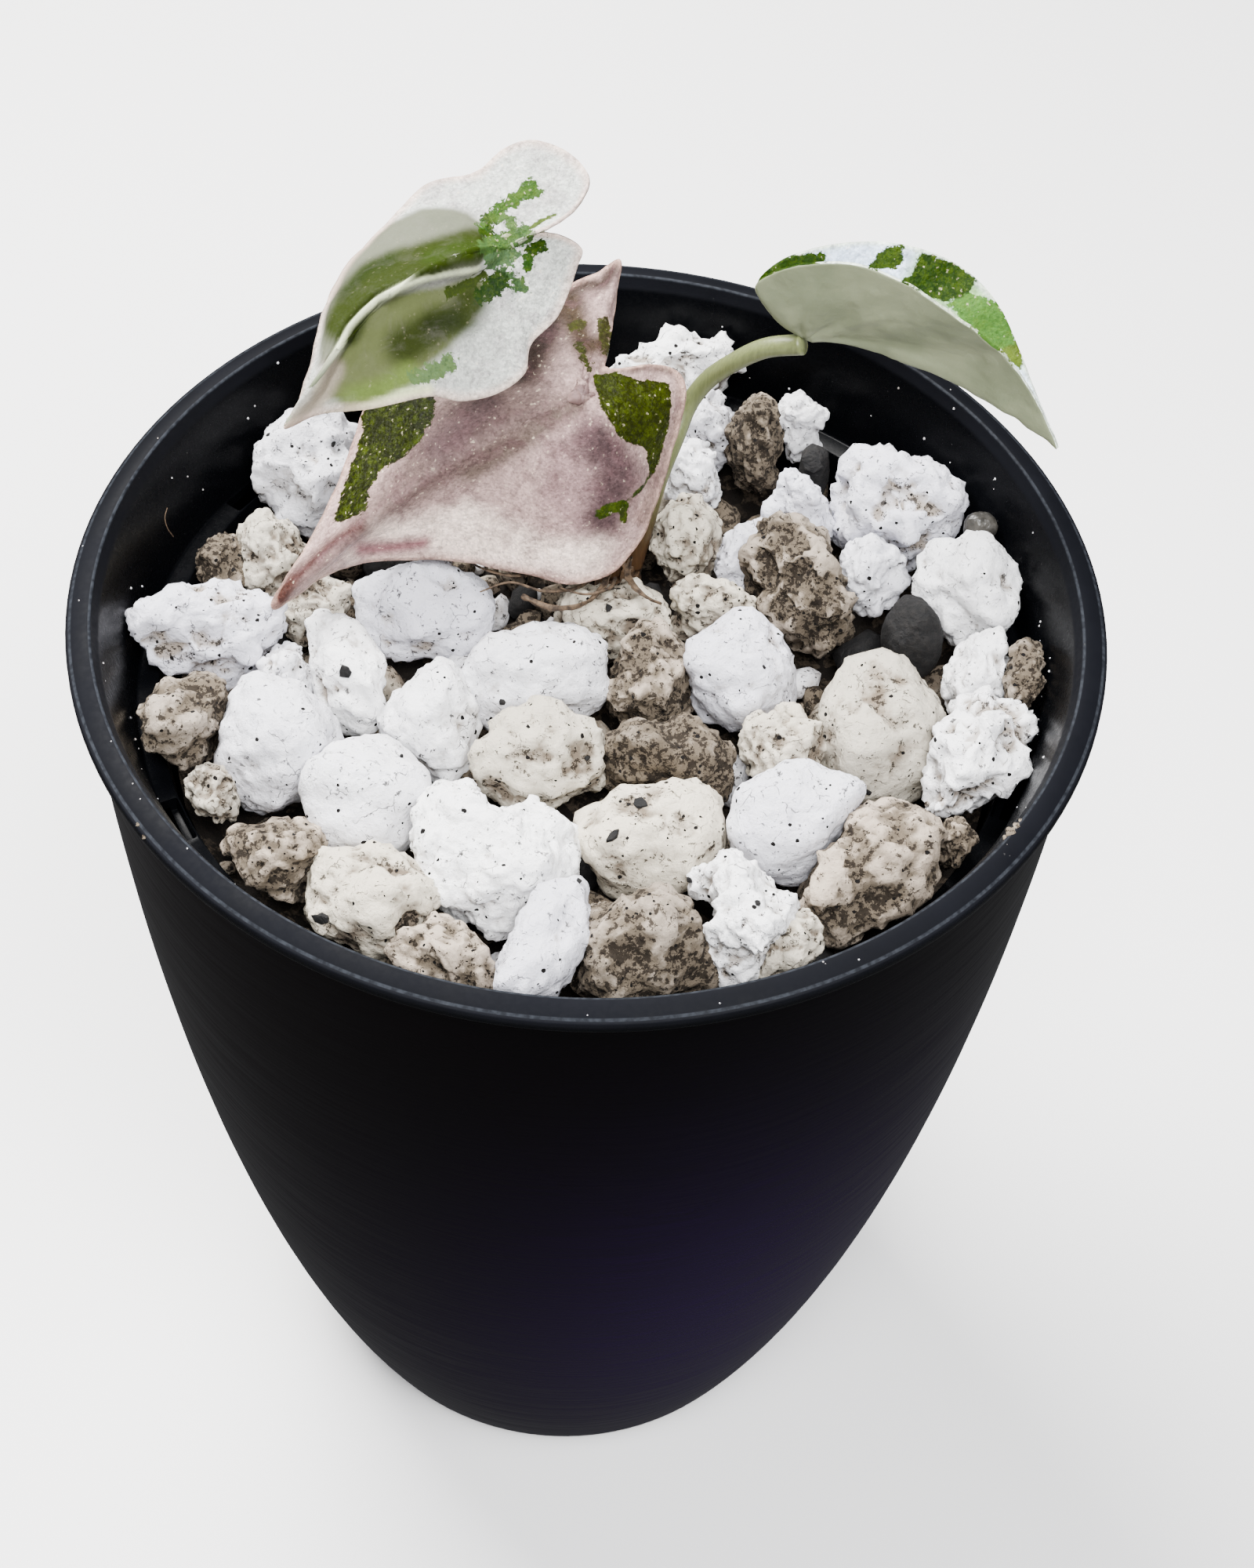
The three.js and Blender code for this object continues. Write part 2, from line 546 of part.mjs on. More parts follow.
addPiece('outer_pot', outerPot(), 'outerPot');
addPiece('liner_pot', liner(), 'liner');
addPiece('perlite_bed', perliteBed(), 'bed');
addPiece('stem_base', stemBase(), 'stem');
addPiece('dry_sheath', drySheath(), 'sheath');
for (const [name, shape] of Object.entries(LEAVES)) {
  addPiece(name, leaf(shape), shape.finish);
}
CHUNKS.forEach((chunk, i) => {
  addPiece(chunk.name, chunkGeometry(chunk, 100 + i), chunk.finish);
});

export default group;
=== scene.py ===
"""The looks of a potted alocasia: black egg-shaped pot, its liner, coarse perlite, three leaves."""

import math
import random

import bpy
import numpy as np
from mathutils import Matrix, Vector
from mathutils.bvhtree import BVHTree


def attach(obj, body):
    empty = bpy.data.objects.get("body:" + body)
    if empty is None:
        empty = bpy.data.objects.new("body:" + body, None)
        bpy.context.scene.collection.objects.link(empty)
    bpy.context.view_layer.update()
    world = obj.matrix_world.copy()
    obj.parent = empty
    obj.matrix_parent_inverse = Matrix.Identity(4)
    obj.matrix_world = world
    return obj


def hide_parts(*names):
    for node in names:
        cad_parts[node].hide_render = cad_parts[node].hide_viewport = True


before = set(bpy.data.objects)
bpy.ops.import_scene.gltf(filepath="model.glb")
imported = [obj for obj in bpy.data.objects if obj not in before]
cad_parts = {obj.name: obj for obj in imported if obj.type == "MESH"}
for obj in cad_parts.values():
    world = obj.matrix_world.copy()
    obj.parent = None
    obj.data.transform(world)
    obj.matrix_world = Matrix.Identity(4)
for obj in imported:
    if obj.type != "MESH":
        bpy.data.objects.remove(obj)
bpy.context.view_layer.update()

# Outer pot. A bowl of black plastic that follows a tall ellipse, moulded in one piece with its
# foot ring. Fine lines run round its satin outside, and its lip shows as a thin bright edge
# under the liner's rim: a painted highlight.
MM = 0.001
TURN = 2 * math.pi
MERGE = 0.002 * MM
SMOOTH_ANGLE = math.radians(32)
# how bright a white surface is under the studio light, and the curve by which the picture shows
# brightness
FULL_LIGHT = 4.6
TONE_CURVE = {"whitest": 246, "scale": 0.202, "rise": 1.187, "fall": 1.283, "palest": 0.9}
BELLY = {"radius": 59, "middle": 169, "half": 203}
POT = {"top": 134.6, "wall": 1.4, "foot_in": 23, "foot_out": 29.5, "recess": 0.8, "floor": 3,
       "floor_corner": 4, "edge": 0.35}
# the foot's rounded outer edge, as steps from its radius, and where the belly starts above it
FOOT_EDGE = ((-0.5, 0), (0, 0.12), (0.35, 0.5))
FOOT_TOP = 1.2
INNER_HEIGHTS = (112, 85, 62, 43, 27, 14, 7)
LINES = {"pitch": 0.5, "depth": 0.013, "start": 2.5, "plain_lip": 1.2}
POT_STEPS = 120
POT_BLACKS = ((0.0004, 0.0002, 0.0004, 1), (0.0010, 0.0005, 0.0009, 1))
# the lip's painted highlight: its colour, and how far below the top it starts and is full, in mm
POT_LIP_HIGHLIGHT = {"colour": (104, 106, 112), "start": 0.5, "full": 0.2}
POT_DUST = {"cell": 9, "share": 0.12, "reach": 0.012, "colour": (90, 88, 96)}


def select_none():
    """Leaves edit mode and deselects every object."""
    if bpy.context.object and bpy.context.object.mode != "OBJECT":
        bpy.ops.object.mode_set(mode="OBJECT")
    bpy.ops.object.select_all(action="DESELECT")


def pick(piece):
    """Makes a piece the only selected and active one."""
    select_none()
    piece.select_set(True)
    bpy.context.view_layer.objects.active = piece


def name_piece(piece, name):
    piece.name = name
    piece.data.name = name
    return piece


def apply_modifiers(piece):
    pick(piece)
    for modifier in list(piece.modifiers):
        bpy.ops.object.modifier_apply(modifier=modifier.name)


def arc(middle, radius, start, end, steps=4):
    """Points [radius, height] of a round corner, from one angle to another in degrees."""
    turns = [math.radians(start + (end - start) * i / steps) for i in range(steps + 1)]
    return [(middle[0] + radius * math.cos(a), middle[1] + radius * math.sin(a)) for a in turns]


def near(place, steps):
    """Points at small steps from a place."""
    return [(place[0] + across, place[1] + up) for across, up in steps]


def turned(name, profile, steps):
    """Extrudes a chain of points [radius, height] in mm from the axis back to it, and spins it."""
    select_none()
    bpy.ops.mesh.primitive_plane_add(size=MM)
    piece = name_piece(bpy.context.object, name)
    bpy.ops.object.mode_set(mode="EDIT")
    bpy.ops.mesh.merge(type="CENTER")
    points = [Vector((radius, 0, height)) * MM for radius, height in profile]
    bpy.ops.transform.translate(value=points[0])
    for here, there in zip(points, points[1:]):
        bpy.ops.mesh.extrude_region_move(TRANSFORM_OT_translate={"value": there - here})
    bpy.ops.mesh.select_all(action="SELECT")
    bpy.ops.mesh.spin(steps=steps, angle=TURN, center=(0, 0, 0), axis=(0, 0, 1))
    bpy.ops.mesh.select_all(action="SELECT")
    bpy.ops.mesh.remove_doubles(threshold=MERGE)
    bpy.ops.mesh.normals_make_consistent(inside=False)
    bpy.ops.object.mode_set(mode="OBJECT")
    bpy.ops.object.shade_smooth_by_angle(angle=SMOOTH_ANGLE)
    return piece


def tone(red, green, blue):
    """The colour a surface needs to come out as the given one, from 0 to 255, in full light."""
    curve = TONE_CURVE
    parts = [min(part, curve["whitest"]) / 255 for part in (red, green, blue)]
    light = [curve["scale"] * part ** curve["rise"] / (1 - part) ** curve["fall"]
             for part in parts]
    return (*(min(value / FULL_LIGHT, curve["palest"]) for value in light), 1)


def feed(tree, made, inputs):
    """Sets a node's inputs, each to a value or to another node's output socket."""
    for socket, value in inputs.items():
        if isinstance(value, bpy.types.NodeSocket):
            tree.links.new(value, made.inputs[socket])
        else:
            made.inputs[socket].default_value = value


def node(tree, kind, inputs=None, **settings):
    made = tree.nodes.new(kind)
    for setting, value in settings.items():
        setattr(made, setting, value)
    feed(tree, made, inputs or {})
    return made


def math_node(tree, operation, *values, clamp=False):
    inputs = dict(enumerate(values))
    return node(tree, "ShaderNodeMath", inputs, operation=operation, use_clamp=clamp).outputs[0]


def times(tree, first, second):
    return math_node(tree, "MULTIPLY", first, second)


def times_plus(tree, value, factor, more):
    return math_node(tree, "MULTIPLY_ADD", value, factor, more)


def mix(tree, factor, first, second, blend="MIX"):
    inputs = {0: factor, 6: first, 7: second}
    made = node(tree, "ShaderNodeMix", inputs, data_type="RGBA", blend_type=blend)
    return made.outputs[2]


def ramp(tree, value, low, high, to_low=0.0, to_high=1.0):
    """Maps a value smoothly between two limits."""
    inputs = {"Value": value, 1: low, 2: high, 3: to_low, 4: to_high}
    made = node(tree, "ShaderNodeMapRange", inputs, interpolation_type="SMOOTHSTEP")
    return made.outputs[0]


def noise(tree, vector, scale, detail=3.0, roughness=0.5, distortion=0.0):
    """A noise whose scale is given in features per millimetre."""
    inputs = {"Vector": vector, "Scale": scale / MM, "Detail": detail, "Roughness": roughness}
    inputs["Distortion"] = distortion
    return node(tree, "ShaderNodeTexNoise", inputs).outputs["Fac"]


def cells_of(tree, vector, scale, **settings):
    """Cells whose scale is given in cells per millimetre."""
    inputs = {"Vector": vector, "Scale": scale / MM}
    return node(tree, "ShaderNodeTexVoronoi", inputs, **settings).outputs


def three_values(tree, colour):
    return node(tree, "ShaderNodeSeparateColor", {"Color": colour}).outputs


def height_in(tree, place):
    return node(tree, "ShaderNodeSeparateXYZ", {0: place}).outputs["Z"]


def from_top(tree, place, top, edge):
    """A mask that begins at one distance below a top in mm, and is full at another."""
    return ramp(tree, height_in(tree, place), (top - edge["start"]) * MM, (top - edge["full"]) * MM)


def stretched(tree, place, scale):
    return node(tree, "ShaderNodeMapping", {"Vector": place, "Scale": scale}).outputs[0]


def warped(tree, vector, scale, reach, detail):
    """Shifts a pattern's place by a noise, up to a reach in mm."""
    inputs = {"Vector": vector, "Scale": scale / MM, "Detail": detail}
    ripple = node(tree, "ShaderNodeTexNoise", inputs).outputs["Color"]
    offset = node(tree, "ShaderNodeVectorMath", {0: ripple, "Scale": reach * MM},
                  operation="SCALE").outputs[0]
    return node(tree, "ShaderNodeVectorMath", {0: vector, 1: offset}).outputs[0]


def shaded(tree, colour, shade):
    """Multiplies a colour by a grey."""
    grey = node(tree, "ShaderNodeCombineColor", {0: shade, 1: shade, 2: shade}).outputs[0]
    return mix(tree, 1.0, colour, grey, blend="MULTIPLY")


def new_material(name):
    """A material, its nodes, its shader, and a place in the piece's own metres."""
    made = bpy.data.materials.new(name)
    made.use_nodes = True
    tree = made.node_tree
    place = node(tree, "ShaderNodeTexCoord").outputs["Object"]
    return made, tree, tree.nodes["Principled BSDF"], place


def finish(tree, surface, colour, rough, specular, height=None, depth=0.1, strength=1.0, glow=None):
    """Feeds the shader, and its Normal from a height with a depth in mm where there is one. Glow is
    the share of light that enters the surface, how far each colour goes, and the reach in mm."""
    feed(tree, surface, {"Base Color": colour, "Roughness": rough, "Specular IOR Level": specular})
    if glow:
        share, colours, reach = glow
        feed(tree, surface, {"Subsurface Weight": share, "Subsurface Radius": colours,
                             "Subsurface Scale": reach * MM})
    if height is not None:
        bump = {"Height": height, "Distance": depth * MM, "Strength": strength}
        tree.links.new(node(tree, "ShaderNodeBump", bump).outputs[0], surface.inputs["Normal"])


def speck_group():
    """Small scattered specks: one in some of the cells of a size in mm, each of its own size."""
    tree = bpy.data.node_groups.new("scattered_specks", "ShaderNodeTree")
    for label, kind in (("Vector", "NodeSocketVector"), ("Cell", "NodeSocketFloat"),
                        ("Share", "NodeSocketFloat"), ("Reach", "NodeSocketFloat")):
        tree.interface.new_socket(label, in_out="INPUT", socket_type=kind)
    tree.interface.new_socket("Mask", in_out="OUTPUT", socket_type="NodeSocketFloat")
    given = node(tree, "NodeGroupInput").outputs
    bent = warped(tree, given["Vector"], 2.2, 0.3, 2.0)
    scale = math_node(tree, "DIVIDE", 1 / MM, given["Cell"])
    cells = node(tree, "ShaderNodeTexVoronoi", {"Vector": bent, "Scale": scale}).outputs
    parts = three_values(tree, cells["Color"])
    kept = math_node(tree, "LESS_THAN", parts[0], given["Share"])
    reach = times(tree, given["Reach"], math_node(tree, "ADD", parts[1], 0.25))
    inside = math_node(tree, "LESS_THAN", cells["Distance"], reach)
    node(tree, "NodeGroupOutput", {"Mask": times(tree, inside, kept)})
    return tree


SPECKS = speck_group()


def specks(tree, vector, cell, share, reach):
    inputs = {"Vector": vector, "Cell": cell, "Share": share, "Reach": reach}
    return node(tree, "ShaderNodeGroup", inputs, node_tree=SPECKS).outputs["Mask"]


def belly_radius(height):
    reach = (BELLY["middle"] - height) / BELLY["half"]
    return BELLY["radius"] * math.sqrt(1 - reach * reach)


def pot_profile():
    top, wall, recess, edge = POT["top"], POT["wall"], POT["recess"], POT["edge"]
    mouth = belly_radius(top)
    points = [(0, recess), (POT["foot_in"], recess), (POT["foot_in"] + recess, 0)]
    points += near((POT["foot_out"], 0), FOOT_EDGE) + [(belly_radius(FOOT_TOP), FOOT_TOP)]
    height = LINES["start"]
    out = False
    while height < top - LINES["plain_lip"]:
        points.append((belly_radius(height) + (LINES["depth"] if out else 0), height))
        height += LINES["pitch"] / 2
        out = not out
    points += arc((mouth - edge, top - edge), edge, 0, 90)
    points += arc((mouth - wall + edge, top - edge), edge, 90, 180)
    points += [(belly_radius(height) - wall, height) for height in INNER_HEIGHTS]
    corner = belly_radius(POT["floor_corner"]) - 2 * wall
    return points + [(corner, POT["floor"]), (0, POT["floor"])]


def pot_plastic():
    """Near-black satin plastic: faintly streaked along its lines, with pale dust, and a highlight
    painted along its lip.
    """
    made, tree, surface, place = new_material("pot_plastic")
    streaks = noise(tree, stretched(tree, place, (0.12, 0.12, 4)), 0.5, 4, 0.6)
    fine = noise(tree, place, 3, 2)
    dust = specks(tree, place, POT_DUST["cell"], POT_DUST["share"], POT_DUST["reach"])
    # painted highlight: a pale band along the lip, where its rounded edge catches the light
    lip = from_top(tree, place, POT["top"], POT_LIP_HIGHLIGHT)
    colour = mix(tree, streaks, *POT_BLACKS)
    colour = mix(tree, times(tree, lip, streaks), colour, tone(*POT_LIP_HIGHLIGHT["colour"]))
    colour = mix(tree, dust, colour, tone(*POT_DUST["colour"]))
    rough = times_plus(tree, dust, 0.5, ramp(tree, streaks, 0.25, 0.75, 0.3, 0.42))
    finish(tree, surface, colour, rough, 0.05, fine, 0.006)
    return made


outer_pot = turned("outer_pot_bowl", pot_profile(), POT_STEPS)
outer_pot.data.materials.append(pot_plastic())
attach(outer_pot, "root")
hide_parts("outer_pot")

# Liner pot. A thinner black pot that hangs in the mouth by its rim. A ledge runs round inside
# it with four slots, and below that its basket narrows to a floor with drain holes. Its rim is
# slate grey, from dust and a painted reflection, with highlights painted along its two edges,
# and its inner wall is glossy with white dust on it.
RIM = {"radius": 60, "inner": 57, "top": 138.4, "edge": 137.4, "under": 136, "neck": 57.6}
LEDGE = {"outer": 53, "inner": 50.4, "height": 124.6, "thickness": 1.4}
# the rounded edges of rim and ledge: radii, and the points of the flatter ones as small steps
CORNER = {"rim": 0.35, "lip": 0.3, "ledge": 0.35, "lip_drop": 0.1, "neck_step": 0.4}
RIM_SHOULDER = ((-0.42, 0.26), (-0.55, 0.36))
RIM_BROW = ((1.2, -0.12), (0.55, 0))
LEDGE_LIP = ((0.3, 0), (0.08, -0.1))
FUNNEL_HEIGHTS = (137, 135.5, 134, 132, 130, 128, 126)
BASKET_HEIGHTS = (124.2, 110, 80)
BASKET = {"floor_radius": 38, "floor": 38, "middle": 80, "wall": 1.4}
FUNNEL = {"bow": 0.7, "flare": 5}
SLOT = {"length": 6.5, "width": 2.2, "depth": 4, "edge": 0.25, "angles": (-152, -18, 30, 146)}
DRAIN = {"holes": 8, "radius": 3, "circle": 24, "depth": 4, "sides": 24}
CLEARANCE = 0.3
LINER_STEPS = 144
LINER_BLACKS = ((0.0007, 0.0008, 0.0011, 1), (0.0015, 0.0017, 0.0022, 1))
# grey dust and a painted reflection on the rim, and how far below its edge it starts and is full;
# the highlights painted along its two edges, with their radii and how far off they fade, in mm
RIM_DUST_AND_SHEEN = {"colour": (26, 28, 37), "start": 0.9, "full": 0.2}
RIM_EDGE_HIGHLIGHTS = {"colour": (92, 98, 108), "radii": (57.2, 59.5), "fades": (0.22, 0.1)}
WALL_DUST_GREY = (104, 104, 104)


def liner_radius(height):
    """The liner's inner radius, down the funnel to the ledge and down the basket below it."""
    if height > LEDGE["height"]:
        rise = (height - LEDGE["height"]) / (RIM["top"] - LEDGE["height"])
        straight = LEDGE["outer"] + rise * (RIM["inner"] - LEDGE["outer"])
        return straight - FUNNEL["bow"] * math.sin(math.pi * rise)
    rise = (height - BASKET["floor"]) / (LEDGE["height"] - BASKET["floor"])
    return BASKET["floor_radius"] + rise * (LEDGE["inner"] - BASKET["floor_radius"])


def liner_profile():
    wall, floor = BASKET["wall"], BASKET["floor"]
    neck_height = POT["top"] + CLEARANCE
    skin = belly_radius(POT["top"]) - POT["wall"] - CLEARANCE
    under = LEDGE["height"] - LEDGE["thickness"]
    flare = neck_height - FUNNEL["flare"]
    rim, lip, ledge = CORNER["rim"], CORNER["lip"], CORNER["ledge"]
    points = [(0, floor - wall), (BASKET["floor_radius"], floor - wall)]
    points += [(BASKET["floor_radius"] + wall, floor)]
    points += [(liner_radius(height) + wall, height) for height in (BASKET["middle"], under)]
    points += [(LEDGE["outer"] + wall, under), (liner_radius(flare) + wall, flare)]
    points += [(skin, neck_height - CORNER["neck_step"]), (skin, neck_height)]
    points += [(RIM["neck"], neck_height), (RIM["neck"], RIM["under"])]
    points += arc((RIM["radius"] - rim, RIM["under"] + rim), rim, -90, 0)
    points += arc((RIM["radius"] - lip, RIM["edge"] - CORNER["lip_drop"]), lip, 0, 70)
    points += near((RIM["radius"], RIM["edge"]), RIM_SHOULDER)
    points += near((RIM["inner"], RIM["top"]), RIM_BROW)
    points += arc((RIM["inner"] + lip, RIM["top"] - lip), lip, 90, 180, 3)
    points += [(liner_radius(height), height) for height in FUNNEL_HEIGHTS]
    points += arc((LEDGE["outer"] - ledge, LEDGE["height"] + ledge), ledge, 0, -90, 3)
    points += near((LEDGE["inner"], LEDGE["height"]), LEDGE_LIP)
    points += [(liner_radius(height), height) for height in BASKET_HEIGHTS]
    return points + [(BASKET["floor_radius"], floor), (0, floor)]


def cut(piece, cutter):
    """Takes the cutter out of the piece, and the cutter out of the scene."""
    modifier = piece.modifiers.new("cut", "BOOLEAN")
    modifier.object = cutter
    modifier.solver = "EXACT"
    apply_modifiers(piece)
    bpy.data.objects.remove(cutter)


def join(pieces):
    """Joins pieces into the first of them."""
    select_none()
    for piece in pieces:
        piece.select_set(True)
    bpy.context.view_layer.objects.active = pieces[0]
    bpy.ops.object.join()
    return bpy.context.object


def slot_cutter():
    """Four bars with eased edges, one for each slot through the ledge."""
    select_none()
    bars = []
    for angle in SLOT["angles"]:
        radius = (LEDGE["inner"] + LEDGE["outer"]) / 2
        turn = math.radians(angle)
        spot = Vector((radius * math.cos(turn), radius * math.sin(turn), LEDGE["height"])) * MM
        bpy.ops.mesh.primitive_cube_add(size=1, location=spot, rotation=(0, 0, turn))
        bar = bpy.context.object
        bar.scale = (SLOT["width"] * MM, SLOT["length"] * MM, SLOT["depth"] * MM)
        bpy.ops.object.transform_apply(location=True, rotation=True, scale=True)
        bpy.ops.object.mode_set(mode="EDIT")
        bpy.ops.mesh.bevel(offset=SLOT["edge"] * MM, segments=2, affect="EDGES")
        bpy.ops.object.mode_set(mode="OBJECT")
        bars.append(bar)
    return join(bars)


def drain_cutter():
    """Eight round pins, one for each hole in the basket's floor."""
    select_none()
    pins = []
    for hole in range(DRAIN["holes"]):
        turn = TURN * hole / DRAIN["holes"]
        spot = Vector((math.cos(turn), math.sin(turn), 0)) * DRAIN["circle"] * MM
        spot.z = BASKET["floor"] * MM
        bpy.ops.mesh.primitive_cylinder_add(vertices=DRAIN["sides"], radius=DRAIN["radius"] * MM,
                                            depth=DRAIN["depth"] * MM, location=spot)
        pins.append(bpy.context.object)
    cutter = join(pins)
    bpy.ops.object.transform_apply(location=True, rotation=True, scale=True)
    return cutter


def liner_plastic():
    """Glossy black plastic with white dust on the wall, a grey film of dust and painted reflection
    on the rim, and highlights painted along the rim's two edges.
    """
    made, tree, surface, place = new_material("liner_plastic")
    on_rim = from_top(tree, place, RIM["edge"], RIM_DUST_AND_SHEEN)
    cloudy = noise(tree, place, 0.06, 4, 0.6)
    fine = noise(tree, place, 1.4, 3)
    # the rim's grey film: partly dust, partly a painted reflection of the bright room
    film = times(tree, on_rim, ramp(tree, cloudy, 0.3, 0.7, 0.55, 1.0))
    colour = mix(tree, cloudy, *LINER_BLACKS)
    colour = mix(tree, film, colour, tone(*RIM_DUST_AND_SHEEN["colour"]))
    flat = stretched(tree, place, (1, 1, 0))
    reach = node(tree, "ShaderNodeVectorMath", {0: flat}, operation="LENGTH").outputs["Value"]
    # painted highlights: pale rings along the rim's inner and outer edges
    for radius in RIM_EDGE_HIGHLIGHTS["radii"]:
        off = math_node(tree, "ABSOLUTE", math_node(tree, "SUBTRACT", reach, radius * MM))
        edge_highlight = times(tree, ramp(tree, off, *[far * MM for far in RIM_EDGE_HIGHLIGHTS["fades"]]), on_rim)
        edge_highlight = times(tree, edge_highlight, ramp(tree, fine, 0.3, 0.7, 0.2, 0.8))
        colour = mix(tree, edge_highlight, colour, tone(*RIM_EDGE_HIGHLIGHTS["colour"]))
    dust = specks(tree, place, 2.6, 0.16, 0.055)
    lint = specks(tree, place, 1.1, 0.05, 0.09)
    share = math_node(tree, "MAXIMUM", dust, times(tree, lint, 0.6))
    colour = mix(tree, share, colour, tone(*WALL_DUST_GREY))
    rough = times_plus(tree, film, 0.45, ramp(tree, fine, 0.3, 0.7, 0.24, 0.32))
    rough = times_plus(tree, share, 0.4, rough)
    finish(tree, surface, colour, rough, 0.045, fine, 0.01)
    return made


liner_pot = turned("liner_pot_shell", liner_profile(), LINER_STEPS)
cut(liner_pot, slot_cutter())
cut(liner_pot, drain_cutter())
pick(liner_pot)
bpy.ops.object.shade_smooth_by_angle(angle=SMOOTH_ANGLE)
liner_pot.data.materials.append(liner_plastic())
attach(liner_pot, "root")
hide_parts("liner_pot")

# Perlite bed. The coarse expanded-glass grains that fill the basket, all painted dark brown:
# partly soil that has washed down, partly painted shade for the deep gaps between the grains on
# top. Only a little of it shows in the gaps, so it keeps the pebbled solid.
GRAIN_SHADE = {
    "white": {"base": (235, 235, 237), "film": (206, 201, 195), "dirt": 0.04},
    "cream": {"base": (227, 225, 220), "film": (184, 174, 160), "dirt": 0.3},
    "stained": {"base": (219, 214, 207), "film": (168, 157, 140), "dirt": 0.46},
}
SOIL = tone(46, 34, 23)
SOIL_BLACK = tone(26, 22, 20)
# how much darker than the palest the darkest grains are, of 255
DARKER = 9
CRUST_GLOW = (0.1, (1.0, 0.95, 0.9), 0.9)
# the size of the cells that hold single black crumbs, the share of cells with one, and its reach
BLACK_CRUMBS = ((1.6, 0.22, 0.17), (0.9, 0.1, 0.23))
BED_SOIL_AND_SHADE = {"low": (34, 27, 21), "high": (120, 106, 88), "soil": (36, 28, 21)}


def mark(tree, name, output="Fac"):
    """What a piece's mesh says of itself at each point."""
    return node(tree, "ShaderNodeAttribute", attribute_name=name).outputs[output]


def grain_crust(name, shade):
    """Matt chalky glass foam. A film of soil tints it where it is hollow or lies low, soil dust is
    caught in its torn cells in clusters, and fine cracks and single black crumbs mark it."""
    made, tree, surface, place = new_material(name)
    relief, soil, tint = (mark(tree, label) for label in ("relief", "soil", "tint"))
    cluster = noise(tree, place, 0.17, 4, 0.6)
    middle = noise(tree, place, 0.62, 5, 0.66, 0.5)
    torn = noise(tree, place, 1.2, 5, 0.74)
    hollow = math_node(tree, "SUBTRACT", 0.5, relief)
    dirt = times_plus(tree, math_node(tree, "SUBTRACT", cluster, 0.5), 1.7, shade["dirt"])
    dirt = times_plus(tree, hollow, 0.9, dirt)
    dirt = math_node(tree, "ADD", dirt, soil, clamp=True)
    base = mix(tree, tint, tone(*shade["base"]), tone(*[part - DARKER for part in shade["base"]]))
    film = ramp(tree, times_plus(tree, middle, 0.5, dirt), 0.25, 0.85)
    colour = mix(tree, film, base, tone(*shade["film"]))
    # each threshold falls where there is more dirt, so that more of its noise turns dark
    level = times_plus(tree, dirt, -0.155, 0.618)
    fine = ramp(tree, math_node(tree, "SUBTRACT", torn, level), 0.0, 0.01)
    level = times_plus(tree, dirt, -0.16, 0.655)
    blotch = ramp(tree, math_node(tree, "SUBTRACT", middle, level), 0.0, 0.05)
    blotch = times(tree, blotch, ramp(tree, torn, 0.46, 0.54))
    bent = warped(tree, place, 0.5, 2.2, 3.0)
    shards = cells_of(tree, bent, 0.26, feature="DISTANCE_TO_EDGE")["Distance"]
    crack = times(tree, ramp(tree, shards, 0.016, 0.004), ramp(tree, middle, 0.5, 0.6))
    for mask, strength in ((blotch, 0.8), (fine, 0.88), (crack, 0.7)):
        colour = mix(tree, times(tree, mask, strength), colour, SOIL)
    for cell, share, reach in BLACK_CRUMBS:
        black = specks(tree, place, cell, times_plus(tree, dirt, 0.45, share), reach)
        colour = mix(tree, black, colour, SOIL_BLACK)
    foam = cells_of(tree, bent, 1.0, feature="SMOOTH_F1")["Distance"]
    height = times_plus(tree, crack, -0.5, times_plus(tree, foam, 0.6, torn))
    finish(tree, surface, colour, 0.95, 0.2, height, 0.5, 0.8, CRUST_GLOW)
    return made


def bed_crumbs():
    """Small crumbs with soil between them, all painted dark: partly soil, partly painted shade."""
    made, tree, surface, place = new_material("bed_crumbs")
    cells = cells_of(tree, place, 0.5)
    share = three_values(tree, cells["Color"])[0]
    torn = noise(tree, place, 1.2, 5, 0.65)
    # painted shade: the crumbs are dark brown because the deep gaps they show through are in shadow
    colour = mix(tree, ramp(tree, share, 0.3, 0.9), tone(*BED_SOIL_AND_SHADE["low"]),
                 tone(*BED_SOIL_AND_SHADE["high"]))
    colour = mix(tree, ramp(tree, torn, 0.42, 0.58), colour, tone(*BED_SOIL_AND_SHADE["soil"]))
    height = math_node(tree, "SUBTRACT", torn, cells["Distance"])
    finish(tree, surface, colour, 0.95, 0.15, height, 0.8)
    return made


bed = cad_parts["perlite_bed"]
bed.data.materials.clear()
bed.data.materials.append(bed_crumbs())

# Perlite on top. Big single grains of popped glass foam: rounded and knobbly where they are
# whole, craggy where they are broken, white when clean and brown where wet soil has dried on.
GRAIN_COUNT = 52
# how craggy a grain is, and how much soil is on it, by its number
CRAGGY = {17: 0.8, 24: 1.1, 29: 1.5, 36: 1.4, 38: 1.3, 49: 1.3, 1: 1.3, 4: 1.2, 20: 0.7,
          13: 0.45, 10: 0.7, 23: 0.5, 14: 0.8, 22: 0.7, 28: 0.6, 32: 0.7, 7: 0.7, 15: 0.7, 6: 0.8}
SOILED = {34: 0.5, 21: 0.3, 12: 0.25, 26: 0.2, 36: 0.2, 46: 0.3, 9: 0.2, 27: 0.3, 31: 0.2,
          33: 0.15, 13: -0.25, 23: -0.2, 1: -0.2, 17: -0.15, 15: 0.0, 10: -0.1, 39: -0.3,
          40: -0.3, 41: -0.3, 19: 0.05, 3: 0.3, 37: -0.15}
CHARCOAL_GRAINS = (42, 48)
PEBBLE = 52
FINISHES = {"white": (1, 4, 6, 7, 8, 10, 13, 14, 15, 17, 20, 23, 24, 29, 30, 32, 37, 38, 39, 40,
                      41, 47, 49, 50, 51),
            "cream": (2, 5, 11, 16, 18, 22, 25, 28, 35, 43, 44, 45)}

